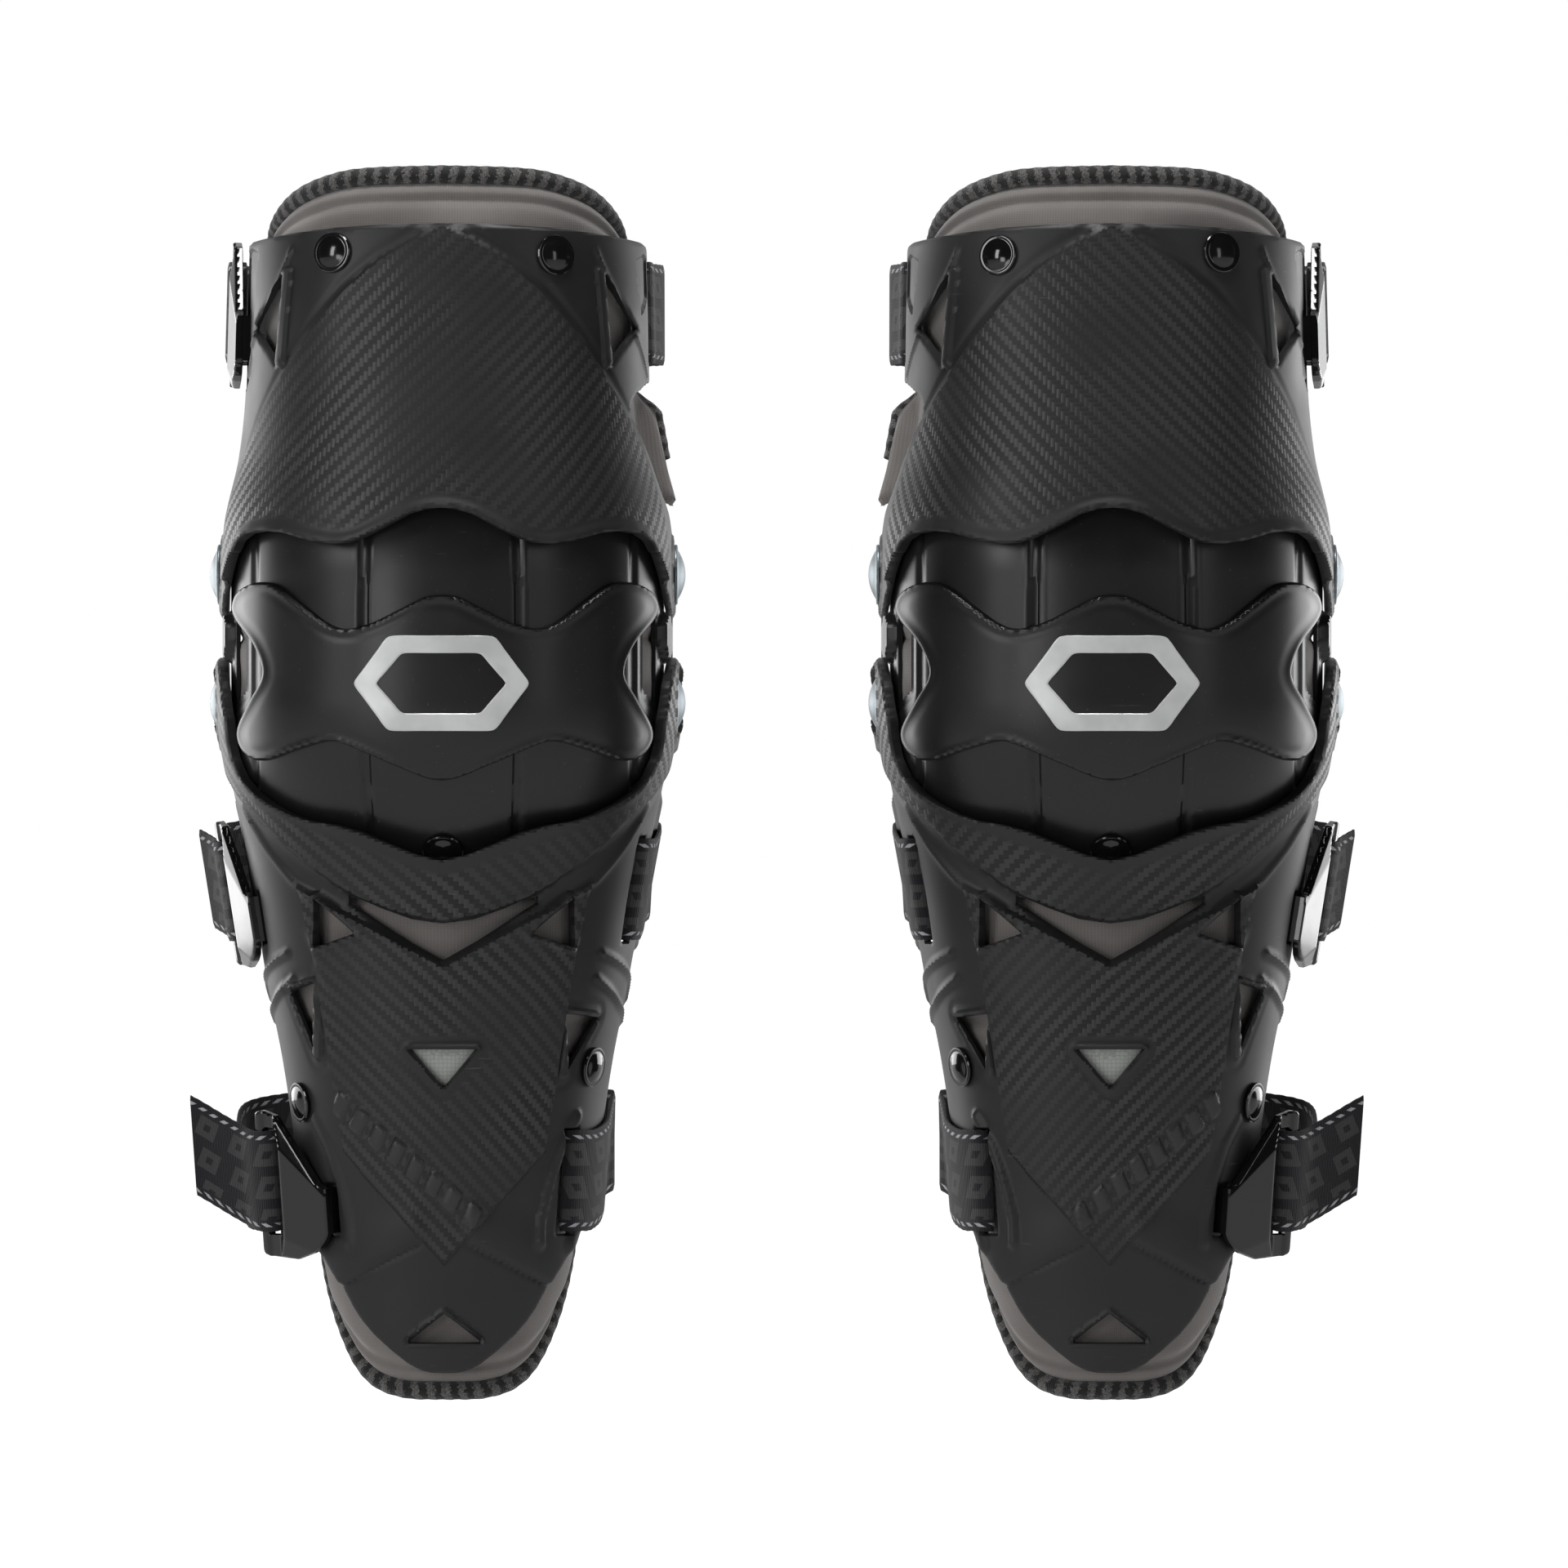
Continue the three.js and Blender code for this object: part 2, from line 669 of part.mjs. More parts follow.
function shinShell() {
  const whole = levelSkin(shinSection, [...steps(8, 200, 8), ...steps(214, 298, 6)], {
    inner: 0,
    outer: SHELL,
    turn: 1.36,
    across: 20,
  });
  const front = frontPrism(
    bothSides([
      [0, 12.4],
      [8, 13],
      [14, 16],
      [27, 27],
      [35, 38],
      [41, 50],
      [49.5, 62],
      [54, 76],
      [60, 92],
      [98, 104],
      [98, 300],
      [84, 300],
      [82.5, 262],
      [78, 250],
      [66, 236],
      [50, 229.5],
      [30, 226.5],
      [0, 215],
    ]),
    FAR,
  );
  const side = [
    [-FAR, 0],
    [-12, 0],
    [-6, 52],
    [14, 64],
    [16, 110],
    [8, 118],
    [10, 172],
    [27, 182],
    [27, 226],
    [9, 244],
    [14, 262],
    [17.5, 279],
    [12, 290.5],
    [0, 295],
    [-14, 291.5],
    [-26, 283],
    [-33, 270],
    [-40, 256],
    [-FAR, 256],
  ];
  const crescent = bothSides([
    [0, 175.6],
    [36, 198],
    [36, 201],
    [18, 193.5],
    [0, 190],
  ]);
  const upperOpening = [
    [33, 186],
    [49, 180],
    [49, 200.5],
  ];
  const innerOpening = [
    [46.5, 131],
    [59, 152.5],
    [46, 154.5],
  ];
  const outerOpening = [
    [49.5, 138],
    [60, 163],
    [49, 167],
  ];
  const toeVent = [
    [-14.5, 24.6],
    [14.5, 24.6],
    [0, 36],
  ];
  return cut(
    keep(whole, front, sidePrism(side)),
    frontPrism(crescent),
    frontPrism(upperOpening),
    frontPrism(otherSide(upperOpening)),
    frontPrism(innerOpening),
    frontPrism(otherSide(outerOpening)),
    frontPrism(REFLECTOR_HOLE),
    frontPrism(toeVent),
    hingeHole(LOWER_AXIS_Z),
    ...SHIN_STRAPS.flatMap((strap) => [strapSlot(shinSection, strap), clipSlot(shinSection, strap)]),
    ...Object.values(SHIN_SNAPS).map((at) => snapHole(frameInFront(shinSection, at, SHELL))),
  );
}

// A plate behind the triangular opening, its edges covered by the shell.
function reflector() {
  const whole = levelSkin(shinSection, [120, 132, 146], {
    inner: -1.6,
    outer: -0.35,
    turn: 0.3,
    across: 6,
  });
  const outline = [
    [0, 121.5],
    [17, 142.5],
    [-17, 142.5],
  ];
  return keep(whole, frontPrism(outline));
}

// ---- Liners and bindings ----

function liner(section, edges, outer = -LINER.gap) {
  return skin(section, {
    inner: outer - LINER.thickness,
    outer,
    turn: edges.at(-1).turn,
    across: 14,
    rows: steps(0, 1, 4),
    low: (turn) => smooth(edges, "turn", turn, "low"),
    top: (turn) => smooth(edges, "turn", turn, "top"),
  });
}

// A cord sewn along one edge of a liner.
function binding(section, edges, key) {
  const end = edges.at(-1).turn;
  const offset = -LINER.gap - LINER.thickness / 2;
  const on = (turn) => {
    const z = smooth(edges, "turn", Math.abs(turn), key);
    return onSection(section(z, offset), turn, z);
  };
  const sign = key === "top" ? 1 : -1;
  const points = steps(-end, end, 32).map((turn) => {
    const z = smooth(edges, "turn", Math.abs(turn), key);
    const along = on(turn + 0.01).sub(on(turn - 0.01));
    const { normal } = frameAt(section, turn, z, offset);
    const away = normal.cross(along).normalize().multiplyScalar(sign * (BINDING_RADIUS + 0.8));
    return on(turn).add(away);
  });
  const circle = steps(0, 1, 6)
    .slice(1)
    .map((share) => [
      BINDING_RADIUS * Math.cos(2 * Math.PI * share),
      BINDING_RADIUS * Math.sin(2 * Math.PI * share),
    ]);
  return new THREE.ExtrudeGeometry(shapeOf(circle), {
    steps: 32,
    extrudePath: new THREE.CatmullRomCurve3(points, false, "centripetal"),
  });
}

// ---- One guard ----

add("thigh_shell", thighShell(), MATERIAL.shell);
add("thigh_liner", liner(thighSection, THIGH_LINER), MATERIAL.fabric);
add("thigh_binding", binding(thighSection, THIGH_LINER, "top"), MATERIAL.binding);
add("knee_cup", kneeCup(), MATERIAL.cup);
add("knee_band", kneeBand(), MATERIAL.shell);
add("knee_emblem", kneeEmblem(), MATERIAL.print);
add("knee_liner", liner(kneeSection, KNEE_LINER, -SHELL - LINER.kneeGap), MATERIAL.fabric);
add("shin_shell", shinShell(), MATERIAL.shell);
add("shin_liner", liner(shinSection, SHIN_LINER), MATERIAL.fabric);
add("shin_binding", binding(shinSection, SHIN_LINER, "low"), MATERIAL.binding);
add("shin_reflector", reflector(), MATERIAL.reflector);

for (const strap of STRAPS) {
  const section = strap === THIGH_STRAP ? thighSection : shinSection;
  add(`${strap.name}_strap`, strapBand(section, strap), MATERIAL.webbing);
  add(`${strap.name}_strap_loop`, strapLoop(section, strap), MATERIAL.webbing);
  add(`${strap.name}_clip`, clip(section, strap), MATERIAL.gloss);
}

for (const [side, at] of Object.entries(THIGH_SNAPS)) {
  const seat = frameInFront(thighSection, at, SHELL);
  add(`thigh_snap_${side}`, place(fastener(SNAP, SHELL + CURVED_SEAT, 8), seat), MATERIAL.gloss);
}
for (const [side, at] of Object.entries(SHIN_SNAPS)) {
  const seat = frameInFront(shinSection, at, SHELL);
  add(`shin_snap_${side}`, place(fastener(SNAP, SHELL + CURVED_SEAT, 8), seat), MATERIAL.gloss);
}
const kneeSeat = frameInFront(kneeSection, KNEE_SNAP, 0);
add("knee_snap", place(fastener(SNAP, SHELL + CURVED_SEAT, 8), kneeSeat), MATERIAL.gloss);

// Each rivet holds an arm of a shell against the plate of the knee cup.
const armFace = thighSection(UPPER_AXIS_Z, SHELL).w;
const grip = armFace - CUP_HALF_WIDTH + SHELL;
for (const [height, z] of Object.entries({ upper: UPPER_AXIS_Z, lower: LOWER_AXIS_Z }))
  for (const [side, sign] of Object.entries({ outer: -1, inner: 1 })) {
    const seat = {
      point: new THREE.Vector3(sign * armFace, 0, z),
      normal: new THREE.Vector3(sign, 0, 0),
    };
    add(`${height}_rivet_${side}`, place(fastener(RIVET, grip + CURVED_SEAT, 12), seat), MATERIAL.rivet);
  }

// ---- The pair ----

function guard(side) {
  const group = new THREE.Group();
  for (const { name, geometry, material } of pieces) {
    const mesh = new THREE.Mesh(geometry, material.clone());
    mesh.name = `${side}_${name}`;
    group.add(mesh);
  }
  return group;
}

const right = guard("right");
right.position.x = -GUARD_SPACING / 2;
const left = guard("left");
left.position.x = GUARD_SPACING / 2;
left.scale.x = -1;

const model = new THREE.Group();
model.name = "knee_guards";
model.add(right, left);
export default model;
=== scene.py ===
# A pair of hinged knee guards for off-road motorcycling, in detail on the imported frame.
# Lengths are in millimetres in each guard's own frame until a mesh is made: x across the leg with the
# outer side negative, y = 0 on the hinge axes, z = 0 at the toe, the front facing -y.
import math

import bpy
import mathutils
import numpy as np
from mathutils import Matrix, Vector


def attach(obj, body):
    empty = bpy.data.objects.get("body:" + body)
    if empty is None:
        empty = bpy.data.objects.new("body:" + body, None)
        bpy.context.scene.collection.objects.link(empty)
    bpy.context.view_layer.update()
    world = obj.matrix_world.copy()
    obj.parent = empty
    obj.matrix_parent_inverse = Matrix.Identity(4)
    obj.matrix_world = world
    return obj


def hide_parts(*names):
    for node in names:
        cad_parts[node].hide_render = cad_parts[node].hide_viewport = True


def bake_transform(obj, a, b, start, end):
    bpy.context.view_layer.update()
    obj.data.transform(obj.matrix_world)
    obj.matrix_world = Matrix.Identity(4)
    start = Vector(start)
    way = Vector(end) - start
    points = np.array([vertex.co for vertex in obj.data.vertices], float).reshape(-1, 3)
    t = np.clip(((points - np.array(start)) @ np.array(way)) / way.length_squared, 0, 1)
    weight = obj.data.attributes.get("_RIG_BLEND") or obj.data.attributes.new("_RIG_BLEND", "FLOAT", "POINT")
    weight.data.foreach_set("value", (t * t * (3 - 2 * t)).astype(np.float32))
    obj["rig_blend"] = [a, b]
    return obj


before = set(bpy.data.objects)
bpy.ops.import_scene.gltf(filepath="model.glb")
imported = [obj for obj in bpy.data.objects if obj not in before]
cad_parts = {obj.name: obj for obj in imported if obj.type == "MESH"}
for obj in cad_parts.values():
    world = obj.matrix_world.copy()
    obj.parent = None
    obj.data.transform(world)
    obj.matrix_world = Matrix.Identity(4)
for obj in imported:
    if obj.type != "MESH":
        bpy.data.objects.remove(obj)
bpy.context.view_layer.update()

MM = 0.001

# The guards' middles are this far apart, and each knee cup has two hinge axes.
GUARD_SPACING = 262.0
LOWER_AXIS_Z = 277.0
UPPER_AXIS_Z = 328.0

# A wall's section is a squarish curve in front of the axes that runs straight back behind them. The
# plastic's thickness is the same all over.
SECTION_POWER = 2.3
SHELL = 2.6
CUP_SIZE = 86.0
REAR_RUN = 90.0

# Pieces on the walls, with the gaps to them.
BAND_LIFT = 0.5
BAND_THICKNESS = 2.2
EMBLEM_Z = 284.0
EMBLEM_RINGS = ((34.0, 19.0), (25.0, 12.0))
LINER_GAP = 4.2
LINER = 8.0
KNEE_LINER_GAP = 3.4
KNEE_LINER = 8.4
STRAP_WIDTH = 40.0

# Radii of holes and caps.
PIVOT_HOLE = 3.4
RIVET_CAP = 12.0
SNAP_HOLE = 2.9
SNAP_CAP = 8.0

# Patterns: the bindings' stripes, the plastic's twill, and the webbing's blocks and edge stitches.
STRIPE_PITCH = 5.9
TWILL_CELL = 1.75
BLOCK = (17.0, 13.0)
STITCH = 5.6

# A turn runs from 0 in the middle of the front to 1 at the side, and past 1 towards the rear.
# Stations are height, half the width, and reach forwards. Liners are turn, lower edge, and upper edge.
THIGH_STATIONS = np.array([
    (300, 87.2, 89.5), (332, 87.2, 90.2), (350, 85.8, 89.6), (374, 80.4, 86.0),
    (400, 77.6, 81.5), (430, 77.0, 77.5), (463, 76.0, 72.5), (495, 74.0, 68.0),
])
SHIN_STATIONS = np.array([
    (-5, 42, 38), (20, 46.5, 41.5), (38, 51, 44.5), (52, 54, 46.5), (70, 56.5, 49),
    (103, 58.5, 53.5), (135, 63, 57), (167, 69.3, 59.5), (200, 74.6, 63), (215, 77, 67),
    (228, 79.4, 72.6), (240, 82, 77.5), (255, 85.2, 84), (270, 87.2, 88), (300, 87.2, 89.5),
])
THIGH_LINER = np.array([
    (0, 398, 480.5), (0.3, 398, 479.5), (0.45, 396, 477), (0.6, 392, 473), (0.75, 384, 467),
    (0.95, 370, 457), (1.1, 361, 444), (1.2, 358, 422), (1.27, 356, 374),
])
SHIN_LINER = np.array([
    (0, 8.4, 200), (0.25, 9, 200), (0.5, 13.5, 203), (0.72, 25, 215), (0.87, 42, 227),
    (0.98, 70, 234), (1.12, 124, 238), (1.27, 212, 236),
])
# A strap starts at its slot's turn and ends on the clip at its pivot's turn. Between them it passes half
# the width and back behind the axes, and climbs by the rise.
STRAPS = {
    "thigh": dict(z=433, slot=1.12, pivot=0.92, half=87, back=76, rise=0),
    "calf": dict(z=203, slot=0.8, pivot=0.83, half=81, back=66, rise=8),
    "ankle": dict(z=88, slot=0.57, pivot=0.52, half=67, back=52, rise=14),
}
CLIP = dict(thickness=2.8, lift=1.4, length=36.0, slot=(25.5, 31.0))
HOOK = dict(thickness=2.4, inside=2.2, low=-20.5, top=-2.5)
SNAPS = {
    "thigh_snap_outer": ("thigh", -43, 453), "thigh_snap_inner": ("thigh", 44, 452),
    "shin_snap_outer": ("shin", -57, 119), "shin_snap_inner": ("shin", 58, 133),
    "knee_snap": ("knee", 0, 219),
}


# ---- Sections, the same as the solids ----

def hermite(xs, ys, at):
    last = len(xs) - 1
    a = np.clip(np.searchsorted(xs, at, side="left") - 1, 0, last - 1)
    b = a + 1
    before = np.maximum(a - 1, 0)
    after = np.minimum(b + 1, last)
    span = xs[b] - xs[a]
    t = np.clip((at - xs[a]) / span, 0, 1)
    slope_a = (ys[b] - ys[before]) / (xs[b] - xs[before]) * span
    slope_b = (ys[after] - ys[a]) / (xs[after] - xs[a]) * span
    return (ys[a] * (1 + 2 * t) * (1 - t) ** 2 + slope_a * t * (1 - t) ** 2
            + ys[b] * t * t * (3 - 2 * t) - slope_b * t * t * (1 - t))


def tapered(stations):
    def section(z, offset):
        z = np.asarray(z, float)
        return (hermite(stations[:, 0], stations[:, 1], z) + offset,
                hermite(stations[:, 0], stations[:, 2], z) + offset)
    return section


def knee(z, offset):
    z = np.asarray(z, float)
    beyond = np.maximum(np.maximum(z - UPPER_AXIS_Z, LOWER_AXIS_Z - z), 0)
    reach = CUP_SIZE + offset
    share = np.minimum(beyond / reach, 0.999)
    return (reach * (1 - share ** SECTION_POWER) ** (1 / SECTION_POWER),
            reach * np.sqrt(1 - share * share))


SECTION = {"thigh": tapered(THIGH_STATIONS), "shin": tapered(SHIN_STATIONS), "knee": knee}


def on(section, turn, z, offset=0.0):
    turn = np.asarray(turn, float)
    z = np.asarray(z, float)
    w, reach = SECTION[section](z, offset)
    angle = np.minimum(np.abs(turn), 1) * (math.pi / 2)
    back = np.maximum(np.abs(turn) - 1, 0) * REAR_RUN
    x = np.sign(turn) * w * np.sin(angle) ** (2 / SECTION_POWER)
    y = back - reach * np.maximum(np.cos(angle), 0) ** (2 / SECTION_POWER)
    return np.stack(np.broadcast_arrays(x, y, z), axis=-1)


def turn_at(section, x, z, offset):
    w, _ = SECTION[section](z, offset)
    share = np.minimum(np.abs(x) / w, 1) ** (SECTION_POWER / 2)
    return np.sign(x) * np.arcsin(share) / (math.pi / 2)


def unit(v):
    return v / np.maximum(np.linalg.norm(v, axis=-1, keepdims=True), 1e-12)


def distances(path):
    """Distance along a line of points from the first one."""
    return np.concatenate([[0], np.cumsum(np.linalg.norm(np.diff(path, axis=0), axis=1))])


def frame_at(section, turn, z, offset):
    """A place on a wall with its tangent, its normal and the way up the wall."""
    step = 0.004
    tangent = unit(on(section, turn + step, z, offset) - on(section, turn - step, z, offset))
    rise = on(section, turn, z + 1, offset) - on(section, turn, z - 1, offset)
    normal = unit(np.cross(tangent, rise))
    return on(section, turn, z, offset), tangent, normal, np.cross(normal, tangent)


# ---- Outlines and fields ----

def both(points):
    return points + [(-x, z) for x, z in reversed(points) if x > 0]


def flow(points, closed=False, count=8):
    """A smooth dense line through the points."""
    p = np.asarray(points, float)
    n = len(p)
    out = []
    for i in range(n if closed else n - 1):
        a, b, c, d = (p[(i + k) % n] if closed else p[min(max(i + k, 0), n - 1)] for k in (-1, 0, 1, 2))
        for t in np.linspace(0, 1, count, endpoint=False):
            out.append(0.5 * (2 * b + (c - a) * t + (2 * a - 5 * b + 4 * c - d) * t * t
                              + (3 * b - a - 3 * c + d) * t ** 3))
    if not closed:
        out.append(p[-1])
    return [tuple(q) for q in out]


def line_distance(px, pz, line, closed=False):
    best = np.full(np.shape(px), 1e9)
    n = len(line)
    for i in range(n if closed else n - 1):
        (ax, az), (bx, bz) = line[i], line[(i + 1) % n]
        dx, dz = bx - ax, bz - az
        size = dx * dx + dz * dz + 1e-12
        t = np.clip(((px - ax) * dx + (pz - az) * dz) / size, 0, 1)
        best = np.minimum(best, np.hypot(px - ax - t * dx, pz - az - t * dz))
    return best


def inside(px, pz, polygon):
    """Distance to the polygon's edge, positive inside it."""
    crossing = np.zeros(np.shape(px), bool)
    n = len(polygon)
    for i in range(n):
        (ax, az), (bx, bz) = polygon[i], polygon[(i + 1) % n]
        if az != bz:
            hit = ((az > pz) != (bz > pz)) & (px < (bx - ax) * (pz - az) / (bz - az) + ax)
            crossing ^= hit
    return np.where(crossing, 1, -1) * line_distance(px, pz, polygon, True)


def ease(low, high, value):
    t = np.clip((value - low) / (high - low), 0, 1)
    return t * t * (3 - 2 * t)


# ---- Meshes ----

def grid_cut(turns, heights, field):
    """Cells of a turn by height grid where the field is positive, cut smoothly along its zero line."""
    nt, nz = len(turns), len(heights)
    tt, zz = np.meshgrid(turns, heights)
    t, z = tt.ravel(), zz.ravel()
    d = field(t, z)
    kept = d > 0
    number = np.full(nt * nz, -1)
    number[kept] = np.arange(kept.sum())
    points = [np.stack([t[kept], z[kept]], 1)]
    i = (np.arange(nz - 1)[:, None] * nt + np.arange(nt - 1)[None, :]).ravel()
    corners = np.stack([i, i + 1, i + nt + 1, i + nt], 1)
    full = kept[corners].all(1)
    faces = number[corners[full]].tolist()
    crossing = {}
    for cell in corners[kept[corners].any(1) & ~full]:
        face = []
        for k in range(4):
            a, b = int(cell[k]), int(cell[(k + 1) % 4])
            if kept[a]:
                face.append(int(number[a]))
            if kept[a] != kept[b]:
                face.append(crossing.setdefault((min(a, b), max(a, b)), int(kept.sum()) + len(crossing)))
        faces.append(face)
    if crossing:
        a, b = np.array(list(crossing)).T
        low, high = np.stack([t[a], z[a]], 1), np.stack([t[b], z[b]], 1)
        da, db = d[a], d[b]
        for _ in range(3):
            share = (da / (da - db))[:, None]
            mid = low + (high - low) * share
            dm = field(mid[:, 0], mid[:, 1])
            same = (dm > 0) == (da > 0)
            low = np.where(same[:, None], mid, low)
            da = np.where(same, dm, da)
            high = np.where(same[:, None], high, mid)
            db = np.where(same, db, dm)
            db = np.where(np.abs(da - db) < 1e-9, db - 1e-6, db)
        points.append(low + (high - low) * (da / (da - db))[:, None])
    return np.concatenate(points), faces


def border(faces):
    seen = {}
    for face in faces:
        for k, a in enumerate(face):
            b = face[(k + 1) % len(face)]
            if (b, a) in seen:
                del seen[(b, a)]
            else:
                seen[(a, b)] = True
    return list(seen)


class Built:
    """A mesh in a guard's own frame, with the attributes its material reads."""

    def __init__(self, verts, faces, **attributes):
        self.verts = np.asarray(verts, float)
        self.faces = faces
        self.attributes = attributes


def settle(wall, uv, creases, step):
    """Moves the points beside a crease onto it, so that the crease runs as a clean line."""
    s, z = wall.round(uv[:, 0]), uv[:, 1].copy()

    def measure(s, z):
        t = np.interp(s, wall.run, wall.fine)
        return creases(on(wall.section, t, z), s)

    e = 0.25
    here = measure(s, z)
    along = [(b - a) / (2 * e) for (a, _), (b, _) in zip(measure(s - e, z), measure(s + e, z))]
    upward = [(b - a) / (2 * e) for (a, _), (b, _) in zip(measure(s, z - e), measure(s, z + e))]
    moved = np.zeros(len(s), bool)
    for (d, levels), ds, dz in zip(here, along, upward):
        steep = ds ** 2 + dz ** 2
        for level in levels:
            off = d - level
            near = (np.abs(off) < 0.55 * step) & (steep > 0.3) & ~moved
            s = np.where(near, s - off * ds / np.maximum(steep, 0.3), s)
            z = np.where(near, z - off * dz / np.maximum(steep, 0.3), z)
            moved |= near
    return np.stack([np.interp(s, wall.run, wall.fine), z], 1)


def skin(section, turns, heights, field, outer, inner, rim=0.8, paint=None, creases=None):
    """A moulded wall: the field says where it is, and outer and inner give its two faces' offsets."""
    uv, faces = grid_cut(turns, heights, lambda t, z: field(on(section, t, z), t))
    if creases is not None:
        wall, lines = creases
        whole = np.ones(len(uv), bool)
        whole[[i for edge in border(faces) for i in edge]] = False
        settled = settle(wall, uv, lines, float(np.diff(heights).min()))
        uv = np.where(whole[:, None], settled, uv)
    t, z = uv[:, 0], uv[:, 1]
    base = on(section, t, z)
    d = np.maximum(field(base, t), 0)
    rounding = rim * (1 - np.sqrt(1 - np.clip(1 - d / rim, 0, 1) ** 2))
    front = on(section, t, z, outer(base, t) - rounding)
    rear = on(section, t, z, inner)
    n = len(uv)
    edges = border(faces)
    walls = [(a, a + n, b + n, b) for a, b in edges]
    backs = [[v + n for v in reversed(face)] for face in faces]
    across = distances(on(section, turns, np.full(len(turns), heights.mean())))
    flat = np.stack([np.interp(t, turns, across - across.mean()), z, np.zeros(n)], 1)
    if paint is not None:
        flat[:, 2] = paint(base)
    return Built(np.concatenate([front, rear]), faces + walls + backs,
                 weave=np.concatenate([flat, flat * (1, 1, 0)]))


def ring_mesh(rings, **attributes):
    """A closed tube: quads between rings of the same count of points, with a flat face at each end."""
    rings = np.asarray(rings)
    count, around = rings.shape[:2]
    faces = []
    for i in range(count - 1):
        a, b = i * around, (i + 1) * around
        for k in range(around):
            m = (k + 1) % around
            faces.append((a + k, a + m, b + m, b + k))
    faces.append(tuple(range(around))[::-1])
    faces.append(tuple(range((count - 1) * around, count * around)))
    return Built(rings.reshape(-1, 3), faces, **attributes)


def lathe(profile, seat, sides=48):
    """A turned part: radius and height pairs from its inner end to its outer tip, on a seat."""
    point, normal = seat
    up = np.array([0.0, 0.0, 1.0])
    side = unit(np.cross(up, normal))
    other = np.cross(normal, side)
    angles = np.linspace(0, 2 * math.pi, sides, endpoint=False)
    rings = []
    for r, h in profile:
        r = max(r, 0.02)
        circle = np.cos(angles)[:, None] * side + np.sin(angles)[:, None] * other
        rings.append(point + normal * h + r * circle)
    return ring_mesh(rings)


def placed(points, side):
    """Points of a guard's own frame where the right or the left guard has them."""
    sign = 1 if side == "right" else -1
    return points * (sign, 1, 1) + (-sign * GUARD_SPACING / 2, 0, 0)


def make(name, built, side, material, body, nodes, slot, smooth=35.0):
    """The piece in the scene, on the right or the left guard."""
    verts = placed(built.verts, side)
    faces = built.faces if side == "right" else [tuple(reversed(f)) for f in built.faces]
    mesh = bpy.data.meshes.new(f"{side}_{name}")
    mesh.from_pydata((verts * MM).tolist(), [], faces)
    for key, values in built.attributes.items():
        layer = mesh.attributes.new(key, "FLOAT_VECTOR", "POINT")
        layer.data.foreach_set("vector", np.asarray(values, np.float32).ravel())
    mesh.validate()
    mesh.update()
    mesh.shade_smooth()
    mesh.set_sharp_from_angle(angle=math.radians(smooth))
    piece = bpy.data.objects.new(f"{side}_{name}_skin", mesh)
    bpy.context.scene.collection.objects.link(piece)
    mesh.materials.append(material)
    outward(mesh)
    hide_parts(*[f"{side}_{node}" for node in nodes])
    if body:
        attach(piece, f"{side}_{body}")
    return piece


def outward(mesh):
    """Turns the faces of a closed mesh outwards."""
    mesh.calc_loop_triangles()
    tri = np.empty(len(mesh.loop_triangles) * 3, np.int32)
    mesh.loop_triangles.foreach_get("vertices", tri)
    co = np.empty(len(mesh.vertices) * 3)
    mesh.vertices.foreach_get("co", co)
    a, b, c = (co.reshape(-1, 3)[tri.reshape(-1, 3)[:, k]] for k in range(3))
    if np.einsum("ij,ij->i", a, np.cross(b, c)).sum() < 0:
        mesh.flip_normals()


# ---- Materials ----

